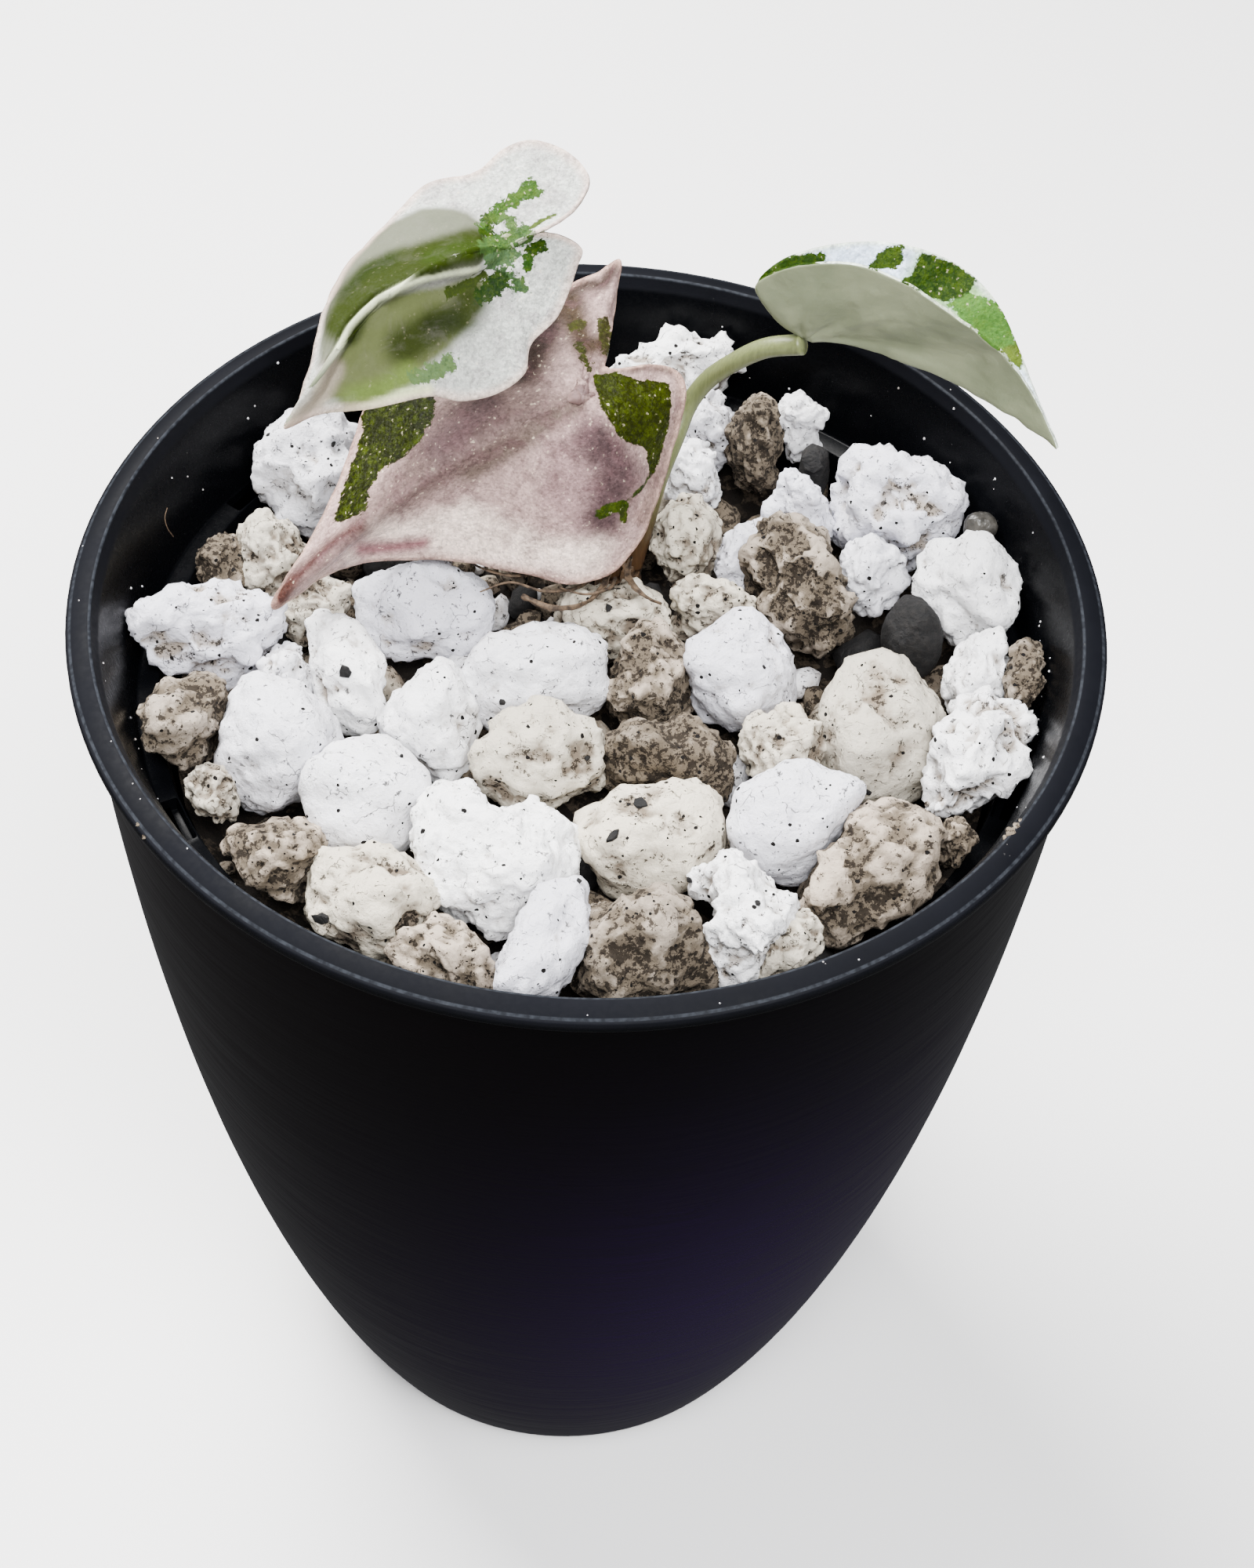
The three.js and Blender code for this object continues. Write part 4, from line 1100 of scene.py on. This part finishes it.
FRONT_LEAF = {
    "slot": "leaf_pink",
    "ease": 420,
    "hub": (-2, 20, 151.5),
    "up": (0.25, -0.15, 0.95),
    "margin": [
        (0.5, 24.5, 152, 0), (1, 28, 152.5, 0.5), (1.5, 34, 153.5, 0.5), (2, 38, 157, 0),
        (-1, 38, 154.5, 0.5), (-4, 37.5, 153, 1), (-8, 36, 151.5, 1), (-12, 35.5, 150, 1.5),
        (-16.5, 35, 148.5, 1.5), (-21, 32.5, 147, 2), (-24.5, 28.5, 145.5, 2.5),
        (-27.5, 25, 143.5, 3), (-30.5, 15, 139.5, 4), (-34, 7.5, 136, 4.0), (-37, 1, 133.5, 5.0),
        (-32, 6.5, 133, 5.4), (-27.5, 9.5, 133, 5.1), (-20.5, 10.5, 133, 4.5), (-13.5, 10, 133, 4),
        (-7, 8.5, 133, 4), (-2, 7.5, 133, 4), (2.5, 9, 133.5, 4), (5.5, 12, 136, 3.5),
        (8, 17.5, 140, 3), (9.5, 21.5, 144, 2), (10.5, 26, 148, 1), (9.5, 27.5, 149, 0.5),
        (6.5, 26.5, 151, 0), (3, 24.5, 152, 0)],
    "stalk": [(2.6, 19, 123), (2, 20, 133), (0, 20, 144), (-1.6, 20.2, 149.9)],
    "veins": [
        vein([(738, 506), (662, 548), (562, 606), (454, 668), (384, 730), (346, 776)], -0.2, 20),
        vein([(738, 506), (765, 560), (790, 620), (800, 670)], -0.3, 8),
        vein([(738, 506), (745, 470), (760, 420), (778, 370)], -0.35, 8),
        vein([(700, 527), (730, 600), (745, 680), (735, 730)], -0.2, 7),
        vein([(640, 560), (672, 620), (685, 680), (670, 725)], -0.2, 7),
        vein([(575, 598), (600, 640), (604, 690), (590, 710)], -0.18, 7),
        vein([(680, 538), (640, 500), (620, 450), (615, 420)], -0.2, 7),
        vein([(600, 584), (560, 555), (530, 510), (520, 470)], -0.18, 7)],
    "base": (214, 203, 200),
    "rim": {"colour": (228, 218, 212), "width": 1.3, "strength": 0.6},
    "washes": [
        shape([(545, 520), (620, 500), (700, 500), (745, 500), (700, 545), (620, 590), (540, 640),
              (470, 680), (450, 660), (500, 600)], (180, 162, 157), soft=18),
        stroke([(620, 520), (560, 570)], 22, (158, 134, 134), soft=18),
        stroke([(670, 470), (690, 430), (700, 400), (720, 380)], 28, (104, 82, 73), soft=20),
        stroke([(735, 520), (670, 560), (600, 605)], 12, (166, 150, 140), soft=14),
        shape([(700, 560), (760, 540), (810, 590), (800, 640), (740, 690), (690, 640)],
              (204, 188, 187), soft=20),
        stroke([(760, 560), (790, 600), (770, 660)], 27, (142, 116, 118), soft=20),
        shape([(480, 670), (600, 640), (700, 690), (780, 690), (760, 735), (640, 720), (540, 705),
              (440, 715)], (230, 226, 223), soft=16),
        stroke([(345, 778), (380, 735), (430, 690), (460, 672)], 9, (132, 88, 84), soft=10),
        stroke([(352, 768), (372, 740)], 8, (116, 68, 56), soft=7),
        stroke([(460, 700), (540, 690)], 10, (196, 160, 164), soft=10),
        stroke([(876, 470), (872, 520), (858, 570), (838, 620), (820, 660)], 13, (200, 184, 178),
               soft=7),
        stroke([(770, 470), (830, 464), (874, 474)], 9, (194, 178, 172), soft=5),
        stroke([(728, 392), (745, 440), (778, 440)], 16, (130, 108, 82), soft=14),
        stroke([(735, 366), (770, 362), (788, 335)], 9, (120, 98, 88), soft=8)],
    "patches": [
        shape([(465, 520), (556, 505), (555, 530), (540, 562), (512, 587), (488, 597), (472, 625),
              (471, 645), (461, 658), (425, 668), (440, 618), (454, 585)], (44, 52, 0),
              ragged=0.5),
        shape([(757, 478), (786, 474), (811, 484), (854, 489), (856, 516), (850, 545), (842, 585),
              (829, 612), (823, 572), (790, 559), (769, 526)], (64, 74, 0), ragged=0.3),
        stroke([(829, 606), (816, 622), (801, 638)], 2.2, (78, 98, 34), ragged=0.12),
        stroke([(766, 655), (778, 648), (796, 644)], 7, (72, 98, 8), ragged=0.25),
        stroke([(796, 645), (794, 662)], 5, (78, 92, 20), ragged=0.25),
        stroke([(729, 418), (742, 412)], 6, (112, 108, 46), ragged=0.6),
        stroke([(738, 440), (752, 470)], 5, (104, 104, 50), ragged=0.6),
        stroke([(768, 412), (774, 450)], 7, (110, 104, 58), ragged=0.7)],
}
RIGHT_LEAF = {
    "slot": "leaf_green",
    "ease": 20,
    "hub": (23.5, 24.5, 158),
    "up": (0, 0.6, 0.8),
    "margin": [
        (22, 25.5, 159, 0), (20, 25.5, 161, -0.5), (17.5, 24.5, 165.5, -1), (19, 24, 167.5, -1.5),
        (21, 23.5, 169, -1.5), (25.5, 23, 170.5, -1.5), (30, 22.5, 170.5, -1),
        (34.5, 21, 169.5, 0), (39, 20, 167, 0.5), (44, 19.5, 163, 1), (48.5, 19.5, 158, 1.5),
        (51.5, 18.5, 153.5, 2), (54, 17.5, 149, 2.2), (51, 22.5, 153, 1.8), (49, 26, 156, 1),
        (46.5, 29, 159.5, 0.5), (42.5, 32, 162.5, -0.5), (37.5, 33, 164.5, -1),
        (30.5, 33, 165.5, -1.5), (23.5, 31, 165.5, -1.5), (19.5, 28.5, 165, -1),
        (18, 28, 163, -0.5), (20, 27.5, 160.5, 0)],
    "stalk": [(5.2, 20.5, 123), (6.5, 22, 129), (8, 24, 135.5), (9.5, 26, 139.5), (11, 28.5, 143),
              (13, 28.5, 147), (16, 27, 151.5), (19.5, 25.5, 155.2), (23.5, 24, 157.3)],
    "veins": [
        vein([(1033, 432), (1026, 408), (1032, 384), (1050, 362)], -0.16, 5),
        vein([(1036, 430), (1060, 424), (1084, 414), (1124, 403), (1164, 405), (1210, 422)], -0.16,
             5),
        vein([(1040, 434), (1120, 440), (1200, 470), (1260, 505)], -0.12, 5)],
    "base": (226, 229, 232),
    "rim": {"colour": (226, 228, 222), "width": 0.9, "strength": 0.8},
    "washes": [
        shape([(1170, 320), (1240, 345), (1290, 410), (1310, 470), (1250, 450), (1150, 360)],
              (196, 212, 180), soft=14)],
    "patches": [
        shape([(960, 362), (975, 340), (1008, 325), (1050, 322), (1056, 334), (1014, 346),
              (986, 360)], (58, 104, 0), ragged=0.5),
        shape([(1108, 342), (1124, 318), (1152, 310), (1153, 332), (1138, 344)], (72, 112, 4),
              ragged=0.5),
        shape([(1172, 322), (1219, 334), (1247, 359), (1232, 380), (1200, 385), (1150, 358),
              (1166, 345)], (50, 96, 0), ragged=0.45),
        shape([(1235, 372), (1270, 385), (1288, 413), (1296, 440), (1270, 450), (1236, 414),
              (1208, 388)], (132, 178, 84), ragged=0.6),
        shape([(1270, 440), (1296, 436), (1303, 450), (1303, 474), (1282, 456)], (146, 166, 60),
              ragged=0.3)],
}
LEAVES = {"leaf_upper": UPPER_LEAF, "leaf_front": FRONT_LEAF, "leaf_right": RIGHT_LEAF}
LEAF_WAVES = texture("CLOUDS", 6, noise_depth=1)
LEAF_QUILT = texture("CLOUDS", 1.6, noise_depth=1)
UNDERSIDES = {"leaf_upper": ((196, 198, 184), (176, 184, 160)),
              "leaf_front": ((206, 190, 184), (180, 158, 156)),
              "leaf_right": ((190, 194, 174), (176, 182, 158))}
FLUSHES = {"leaf_upper": ((200, 194, 196), 0.45), "leaf_front": ((166, 134, 138), 0.5),
           "leaf_right": ((196, 198, 204), 0.4)}


def thickened(piece, thickness, finish_beneath=0):
    """Gives a sheet its thickness, half to each side, and the finish of its underside."""
    shell = piece.modifiers.new("thickness", "SOLIDIFY")
    shell.thickness = thickness * MM
    shell.offset = 0
    shell.material_offset = finish_beneath
    apply_modifiers(piece)


def sheet(name, points, faces):
    """A smooth sheet through points in metres."""
    mesh = bpy.data.meshes.new(name)
    mesh.from_pydata([tuple(point) for point in points], [], faces)
    piece = link_piece(name, mesh)
    pick(piece)
    bpy.ops.object.shade_smooth()
    return piece


def leaf_blade(name, leaf):
    points = blade_points(leaf)
    spots = in_photo(points)
    rays = LEAF_GRID["rays"]
    ends = points[-rays:]
    from_edge = np.linalg.norm(points - ends[(np.arange(len(points)) - 1) % rays], axis=1)
    piece = sheet(name, folded(points, leaf) * MM, blade_faces())
    paint(piece, leaf, spots, from_edge)
    displace(piece, LEAF_WAVES, LEAF_RELIEF["waves"])
    displace(piece, LEAF_QUILT, LEAF_RELIEF["quilt"])
    apply_modifiers(piece)
    veined(piece, leaf)
    piece.data.materials.append(leaf_top(f"{name}_top", *FLUSHES[name]))
    piece.data.materials.append(leaf_under(f"{name}_underside", *UNDERSIDES[name]))
    thickened(piece, BLADE_THICKNESS, finish_beneath=1)
    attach(piece, "root")
    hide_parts(name)


def stalk_skin(name, foot, head):
    """A juicy stalk: pale and waxy, finely streaked along its length, and darker at its foot."""
    made, tree, surface, place = new_material(name)
    rise = ramp(tree, height_in(tree, place), *[height * MM for height in STALK["fades"]])
    lines = noise(tree, stretched(tree, place, (5, 5, 0.5)), 0.7, 3, 0.6)
    colour = mix(tree, rise, tone(*foot), tone(*head))
    colour = shaded(tree, colour, ramp(tree, lines, 0.3, 0.7, 0.82, 1.1))
    finish(tree, surface, colour, 0.38, 0.45, lines, 0.04, glow=STALK_GLOW)
    return made


def tube(name, points, radii, surface, sides=6):
    """A round stalk or fibre along smooth points in mm, with a radius at each of them."""
    path = rounded_loop(points, TUBE_STEPS * len(points), is_closed=False)
    sizes = np.interp(np.linspace(0, 1, len(path)), np.linspace(0, 1, len(radii)), radii)
    curve = bpy.data.curves.new(name, "CURVE")
    curve.dimensions = "3D"
    curve.bevel_depth = MM
    curve.bevel_resolution = sides
    curve.use_fill_caps = True
    spline = curve.splines.new("POLY")
    spline.points.add(len(path) - 1)
    for spot, point, size in zip(spline.points, path, sizes):
        spot.co = (*(point * MM), 1)
        spot.radius = size
    pick(link_piece(name, curve))
    bpy.ops.object.convert(target="MESH")
    piece = name_piece(bpy.context.object, name)
    bpy.ops.object.mode_set(mode="EDIT")
    bpy.ops.mesh.select_all(action="SELECT")
    bpy.ops.mesh.remove_doubles(threshold=MERGE)
    bpy.ops.mesh.normals_make_consistent(inside=False)
    bpy.ops.object.mode_set(mode="OBJECT")
    bpy.ops.object.shade_smooth()
    piece.data.materials.clear()
    piece.data.materials.append(surface)
    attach(piece, "root")
    return piece


for name, leaf in LEAVES.items():
    leaf_blade(name, leaf)

PALE_STALK = stalk_skin("stalk_skin", STALK["foot"], STALK["head"])
for name, leaf in LEAVES.items():
    stalk = tube(f"{name}_stalk", leaf["stalk"], STALK["radii"], PALE_STALK)

# Stem base. The short brown rootstock that the three stalks rise from, a ringed woody knob. It
# stands in the hole in the bed, and only its top shows between the crumbs.
STEM_SKIN = {"noise": (0.6, 5, 0.65), "limits": (0.35, 0.65), "dark": (96, 70, 44),
             "pale": (158, 128, 88), "rough": 0.7, "specular": 0.3, "relief": 0.3}
STEM_GRIT = 0.4


def stem_skin():
    """Woody brown skin with rings round it."""
    made, tree, surface, place = new_material("stem_skin")
    mottled(tree, surface, stretched(tree, place, (1, 1, 3)), STEM_SKIN)
    return made


stem = copy_of("stem_base", "stem_base_root")
rounded(stem, 2, "SIMPLE")
displace(stem, GRIT, STEM_GRIT)
apply_modifiers(stem)
stem.data.materials.append(stem_skin())
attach(stem, "root")
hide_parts("stem_base")

# Dry leaf sheath and roots. Papery brown scraps of old sheath lie curled at the foot of the
# stalks, with a few thin dry roots among them.
SHEATH = {
    "dry_sheath_scrap": {"path": [(-1, 13.5, 131), (-4.5, 12, 129.8), (-8, 12.5, 129.4),
                                  (-11, 14, 130.4), (-12.5, 16.5, 132)],
                         "width": 2.6, "twist": (10, 70), "curl": 0.6},
    "sheath_strip_a": {"path": [(2.5, 12.5, 131.5), (1.5, 8.5, 131.3), (-1, 5.2, 131.6),
                                (-4.4, 3.8, 132.4), (-8, 5.2, 132.8)],
                       "width": 1.0, "twist": (0, 130), "curl": 0.3},
    "sheath_strip_b": {"path": [(4.8, 14.5, 130.6), (4.5, 10.5, 131.4), (6.4, 7.4, 131.5),
                                (8.6, 6.6, 131)],
                       "width": 0.8, "twist": (40, -60), "curl": 0.2},
}
SHEATH_STEPS = {"long": 34, "wide": 6}
ROOTS = {
    "dry_root_a": [(0.5, 12, 129.5), (-2, 8.5, 131), (-5.5, 7, 132), (-9.5, 8, 132.2),
                   (-13, 7, 131.4)],
    "dry_root_b": [(3, 11.5, 130), (2.2, 7.8, 132), (-0.5, 6.2, 132.6), (-3.5, 7.6, 132)],
    "dry_root_c": [(-6, 12, 130.5), (-9, 9.5, 131.8), (-12.5, 10.5, 131.6), (-15.5, 13, 131)],
}
ROOT_RADII = (0.26, 0.2, 0.16, 0.1)
SHEATH_SKIN = {"noise": (0.9, 5, 0.7), "limits": (0.35, 0.65), "dark": (74, 54, 38),
               "pale": (168, 148, 122), "rough": 0.75, "specular": 0.3, "relief": 0.12}
SHEATH_THICKNESS = 0.14
# a strip's width along it follows part of a round arch, and is never less than a share of its most
TAPER = {"least": 0.35, "start": 0.15, "end": 0.95, "fullness": 0.7}
CUP_LEVEL = 0.3
SHEATH_GRIT = 0.5


def sheath_paper():
    """Thin brown dead skin."""
    made, tree, surface, place = new_material("sheath_paper")
    mottled(tree, surface, place, SHEATH_SKIN)
    return made


def ribbon(name, path, width, twist, curl):
    """A strip along a path, turned from one angle to another and cupped across its width."""
    long, wide = SHEATH_STEPS["long"], SHEATH_STEPS["wide"]
    line = rounded_loop(path, long, is_closed=False)
    tangents = np.gradient(line, axis=0)
    tangents /= np.linalg.norm(tangents, axis=1)[:, None]
    verts = []
    for step, (point, tangent) in enumerate(zip(line, tangents)):
        share = step / (long - 1)
        side = Vector(tangent).cross(Vector((0, 0, 1))).normalized()
        side.rotate(Matrix.Rotation(math.radians(twist[0] + share * (twist[1] - twist[0])), 3,
                                    Vector(tangent)))
        up = side.cross(Vector(tangent))
        arch = TAPER["start"] + (TAPER["end"] - TAPER["start"]) * share
        arch = math.sin(math.pi * arch) ** TAPER["fullness"]
        size = width * (TAPER["least"] + (1 - TAPER["least"]) * arch)
        for across in range(wide + 1):
            place = across / wide - 0.5
            cup = curl * (4 * place * place - CUP_LEVEL)
            verts.append((Vector(point) + side * place * size + up * cup) * MM)
    faces = [(r * (wide + 1) + c, r * (wide + 1) + c + 1, (r + 1) * (wide + 1) + c + 1,
              (r + 1) * (wide + 1) + c) for r in range(long - 1) for c in range(wide)]
    piece = sheet(name, verts, faces)
    displace(piece, GRIT, SHEATH_GRIT)
    thickened(piece, SHEATH_THICKNESS)
    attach(piece, "root")
    return piece


PAPER = sheath_paper()
for name, strip in SHEATH.items():
    piece = ribbon(name, **strip)
    piece.data.materials.append(PAPER)
    if name == "dry_sheath_scrap":
        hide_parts("dry_sheath")
for name, path in ROOTS.items():
    tube(name, path, ROOT_RADII, PAPER, sides=2)

# Crumbs and flakes. Broken bits of perlite and soil fill the gaps between the grains down to
# the bed, and a few black flakes of charcoal lie loose on top.
CRUMBS = {"medium": {"tries": 4200, "count": 150, "size": (1.6, 3.3), "rise": 0.9},
          "small": {"tries": 6000, "count": 330, "size": (0.45, 1.1), "rise": 0.5}}
# how crumbs are dropped, in mm: from which height, how far from the axis, how far above the bed
# a grain catches them, how closely they lie as a share of their sizes, and how uneven they are
FALL = {"start": 150, "reach": 49.6, "caught": 3, "spacing": 0.8, "uneven": (0.75, 1.2)}
DOWN = Vector((0, 0, -1))
CRUMB_RELIEF = {"lumps": 1.6, "grit": 0.9, "apart": 20}
# what loose bits say of themselves to the crusts, which the grains measure
LOOSE_MARKS = {"relief": 0.45, "soil": 0.1, "tint": 0.5}
CRUMB_SHARES = (("stained", 0.38), ("cream", 0.3), ("white", 0.22), ("charcoal", 0.1))
FLAKES = [((441, 856), 1.3, 1.0), ((411, 1172), 1.5, 0.9), ((816, 1025), 1.6, 1.1),
          ((782, 1066), 1.5, 0.7), ((641, 895), 0.6, 0.5), ((776, 775), 0.8, 0.6),
          ((1035, 590), 2.0, 1.6), ((880, 1122), 0.6, 0.4), ((967, 1152), 0.5, 0.4),
          ((738, 1125), 0.6, 0.4), ((1108, 1010), 0.6, 0.4), ((343, 556), 0.5, 0.3),
          ((425, 566), 0.5, 0.4), ((748, 968), 0.6, 0.4), ((512, 966), 0.5, 0.3)]
FLAKE = {"corners": 6, "thickness": 0.4, "edge": 0.06, "lift": 0.12, "length": (0.35, 1.0),
         "width": (0.45, 1.0)}


def tree_of(pieces):
    """The pieces' faces in one search tree."""
    verts, faces = [], []
    for piece in pieces:
        start = len(verts)
        verts += [vert.co for vert in piece.data.vertices]
        faces += [[start + index for index in face.vertices] for face in piece.data.polygons]
    return BVHTree.FromPolygons(verts, faces)


def seen_at(tree, spot):
    """Where the line of sight through a pixel of the photograph meets the tree's faces."""
    return tree.ray_cast(Vector(CAMERA["place"]) * MM, sight_through(spot))[:2]


def crumb_shapes(count=5):
    """A few broken lumps to copy, each about 1 mm in radius."""
    shapes = []
    for index in range(count):
        select_none()
        place = (CRUMB_RELIEF["apart"] * MM * index, 0, 0)
        bpy.ops.mesh.primitive_ico_sphere_add(subdivisions=2, radius=MM, location=place)
        lump = bpy.context.object
        displace(lump, LUMPS, CRUMB_RELIEF["lumps"])
        displace(lump, GRIT, CRUMB_RELIEF["grit"])
        apply_modifiers(lump)
        shapes.append(lump.data.copy())
        bpy.data.objects.remove(lump)
    return shapes


def lump_copy(broken, place, size, turns):
    mesh = broken.copy()
    turn = Matrix.Rotation(turns[0], 4, "Z") @ Matrix.Rotation(turns[1], 4, "X")
    mesh.transform(Matrix.Translation(place) @ turn @ Matrix.Diagonal((*size, 1)))
    return link_piece("lump", mesh)


def joined(name, pieces, surface):
    """Loose bits of one finish as one piece."""
    piece = name_piece(join(pieces), name)
    bpy.ops.object.shade_smooth()
    mesh = piece.data
    for label, value in LOOSE_MARKS.items():
        set_attribute(mesh, label, np.full(len(mesh.vertices), value))
    mesh.materials.clear()
    mesh.materials.append(surface)
    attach(piece, "root")
    return piece


def landing(size, over, under):
    """Where a crumb dropped at random lands on the bed, or nothing where a grain catches it."""
    distance = (FALL["reach"] - size) * math.sqrt(draw.random())
    angle = TURN * draw.random()
    start = Vector((distance * math.cos(angle), distance * math.sin(angle), FALL["start"])) * MM
    ground = under.ray_cast(start, DOWN)[0]
    hit = over.ray_cast(start, DOWN)[0]
    is_caught = ground is None or (hit is not None and hit.z > ground.z + FALL["caught"] * MM)
    return None if is_caught else ground


def drawn_finish():
    """The finish of one more crumb, at random by its share."""
    share = draw.random()
    for name, part in CRUMB_SHARES:
        share -= part
        if share < 0:
            break
    return name


def scatter_crumbs():
    """Drops crumbs from above where they fall through to the bed, and joins them by finish."""
    shapes = crumb_shapes()
    sorts = {name: [] for name, _ in CRUMB_SHARES}
    over, under = tree_of(grains), tree_of([bed])
    for kind in CRUMBS.values():
        lying = []
        for _ in range(kind["tries"]):
            if len(lying) == kind["count"]:
                break
            size = draw.uniform(*kind["size"])
            ground = landing(size, over, under)
            if ground is None:
                continue
            place = ground + Vector((0, 0, kind["rise"] * size * MM))
            if any((place - other).length < FALL["spacing"] * (size + reach) * MM
                   for other, reach in lying):
                continue
            lying.append((place, size))
            name = drawn_finish()
            sizes = [size * draw.uniform(*FALL["uneven"]) for _ in range(3)]
            turns = (TURN * draw.random(), TURN * draw.random())
            sorts[name].append(lump_copy(draw.choice(shapes), place, sizes, turns))
    for name, pieces in sorts.items():
        surface = CHARCOAL if name == "charcoal" else CRUSTS[name]
        piece = joined(f"crumbs_{name}", pieces, surface)


def flake(place, normal, length, width):
    """A thin broken flake that lies flat on what carries it."""
    select_none()
    bpy.ops.mesh.primitive_cylinder_add(vertices=FLAKE["corners"], radius=MM,
                                        depth=FLAKE["thickness"] * MM)
    piece = bpy.context.object
    for vert in piece.data.vertices:
        vert.co.x *= length * draw.uniform(*FLAKE["length"])
        vert.co.y *= width * draw.uniform(*FLAKE["width"])
    bevel = piece.modifiers.new("edges", "BEVEL")
    bevel.width = FLAKE["edge"] * MM
    bevel.segments = 2
    apply_modifiers(piece)
    lie = normal.to_track_quat("Z", "Y").to_matrix().to_4x4()
    spin = Matrix.Rotation(TURN * draw.random(), 4, "Z")
    piece.data.transform(Matrix.Translation(place + normal * FLAKE["lift"] * MM) @ lie @ spin)
    return piece


scatter_crumbs()
grain_tree = tree_of(grains)
flakes = []
for spot, length, width in FLAKES:
    place, normal = seen_at(grain_tree, spot)
    if place is not None:
        flakes.append(flake(place, normal, length, width))
black_flakes = joined("charcoal_flakes", flakes, CHARCOAL)

# Dust and a hair on the liner. White crumbs of perlite dust cling to the inner wall and the rim,
# soil is smeared on the rim at two places, and one curved hair sticks to the wall.
DUST = {"count": 80, "size": (0.05, 0.17), "heights": (125, 137.6)}
RIM_DUST = {"count": 16, "size": (0.04, 0.11), "radii": (57.4, 59.6)}
SMEARS = [((1290, 1062), 0.75), ((1297, 1054), 0.5), ((1283, 1069), 0.4), ((1302, 1047), 0.3),
          ((184, 1068), 0.35), ((176, 1052), 0.3)]
# how much shorter and lower than long a smear is, and the radii of the hair's ends
SMEAR_FORM = (1, 0.8, 0.25)
HAIR = [(213, 648), (210, 660), (213, 673), (221, 685)]
HAIR_RADII = (0.07, 0.07)

dust_shape = crumb_shapes(1)[0]
wall_tree = tree_of([liner_pot])
dust = []
for _ in range(DUST["count"]):
    turn, height = TURN * draw.random(), draw.uniform(*DUST["heights"])
    out = Vector((math.cos(turn), math.sin(turn), 0))
    place = (out * liner_radius(height) + Vector((0, 0, height))) * MM
    dust.append(lump_copy(dust_shape, place, [draw.uniform(*DUST["size"])] * 3, (turn, 0)))
for _ in range(RIM_DUST["count"]):
    turn, radius = TURN * draw.random(), draw.uniform(*RIM_DUST["radii"])
    above = Vector((radius * math.cos(turn), radius * math.sin(turn), FALL["start"])) * MM
    place = wall_tree.ray_cast(above, DOWN)[0]
    dust.append(lump_copy(dust_shape, place, [draw.uniform(*RIM_DUST["size"])] * 3, (turn, 0)))
joined("wall_dust", dust, CRUSTS["white"])
smears = []
for spot, size in SMEARS:
    place = seen_at(wall_tree, spot)[0]
    if place is not None:
        smears.append(lump_copy(dust_shape, place, [size * part for part in SMEAR_FORM], (1, 0)))
joined("rim_soil", smears, CRUSTS["stained"])
hair = [tuple(seen_at(wall_tree, spot)[0] / MM) for spot in HAIR]
tube("wall_hair", hair, HAIR_RADII, PAPER, sides=2)

# Floor, camera and light. A plain pale floor in a bright soft studio: a big soft light above and
# behind and another in front, and two faint tinted ones that only the black pot mirrors.
FLOOR = {"size": 6, "colour": (0.88, 0.88, 0.88, 1)}
WORLD = {"colour": (0.96, 0.97, 1.0, 1), "strength": 0.23}


def floor_surface():
    made, tree, surface, _ = new_material("floor")
    finish(tree, surface, FLOOR["colour"], 0.85, 0.2)
    return made


select_none()
bpy.ops.mesh.primitive_plane_add(size=FLOOR["size"], location=(0, 0, 0))
floor = name_piece(bpy.context.object, "floor")
floor.data.materials.append(floor_surface())
floor.visible_glossy = False

bpy.ops.object.camera_add(location=Vector(CAMERA["place"]) * MM)
camera = bpy.context.object
turn = Matrix([CAMERA["right"], CAMERA["up"], CAMERA["back"]]).transposed()
camera.rotation_euler = turn.to_euler()
camera.data.sensor_fit = "VERTICAL"
camera.data.sensor_height = CAMERA["sensor"]
camera.data.sensor_width = CAMERA["sensor"]
camera.data.lens = CAMERA["lens"]
camera.data.clip_start = CAMERA["nearest"]
bpy.context.scene.camera = camera

LIGHTS = {
    "key": {"place": (-230, 260, 640), "aim": (0, 0, 130), "size": (380, 380), "power": 21.0,
            "colour": (1.0, 0.985, 0.97)},
    "front": {"place": (90, -380, 760), "aim": (0, 0, 125), "size": (420, 320), "power": 17.0,
              "colour": (0.99, 0.99, 1.0)},
    "violet": {"place": (190, -420, 30), "aim": (22, -50, 45), "size": (30, 90), "power": 0.42,
               "spread": 14, "colour": (0.36, 0.16, 1.0), "only": "pot"},
    "brown": {"place": (-520, -160, 140), "aim": (0, 0, 70), "size": (60, 300), "power": 2.4,
              "colour": (1.0, 0.55, 0.35), "only": "pot"},
}
pot_only = bpy.data.collections.new("pot_only")
pot_only.objects.link(outer_pot)
for name, light in LIGHTS.items():
    place = Vector(light["place"]) * MM
    bpy.ops.object.light_add(type="AREA", location=place)
    lamp = name_piece(bpy.context.object, f"light_{name}")
    lamp.rotation_euler = (place - Vector(light["aim"]) * MM).to_track_quat("Z", "Y").to_euler()
    lamp.data.shape = "RECTANGLE"
    lamp.data.size = light["size"][0] * MM
    lamp.data.size_y = light["size"][1] * MM
    lamp.data.energy = light["power"]
    lamp.data.color = light["colour"]
    if "spread" in light:
        lamp.data.spread = math.radians(light["spread"])
    if "only" in light:
        lamp.light_linking.receiver_collection = pot_only

world = bpy.data.worlds.new("studio")
world.use_nodes = True
bpy.context.scene.world = world
feed(world.node_tree, world.node_tree.nodes["Background"],
     {"Color": WORLD["colour"], "Strength": WORLD["strength"]})
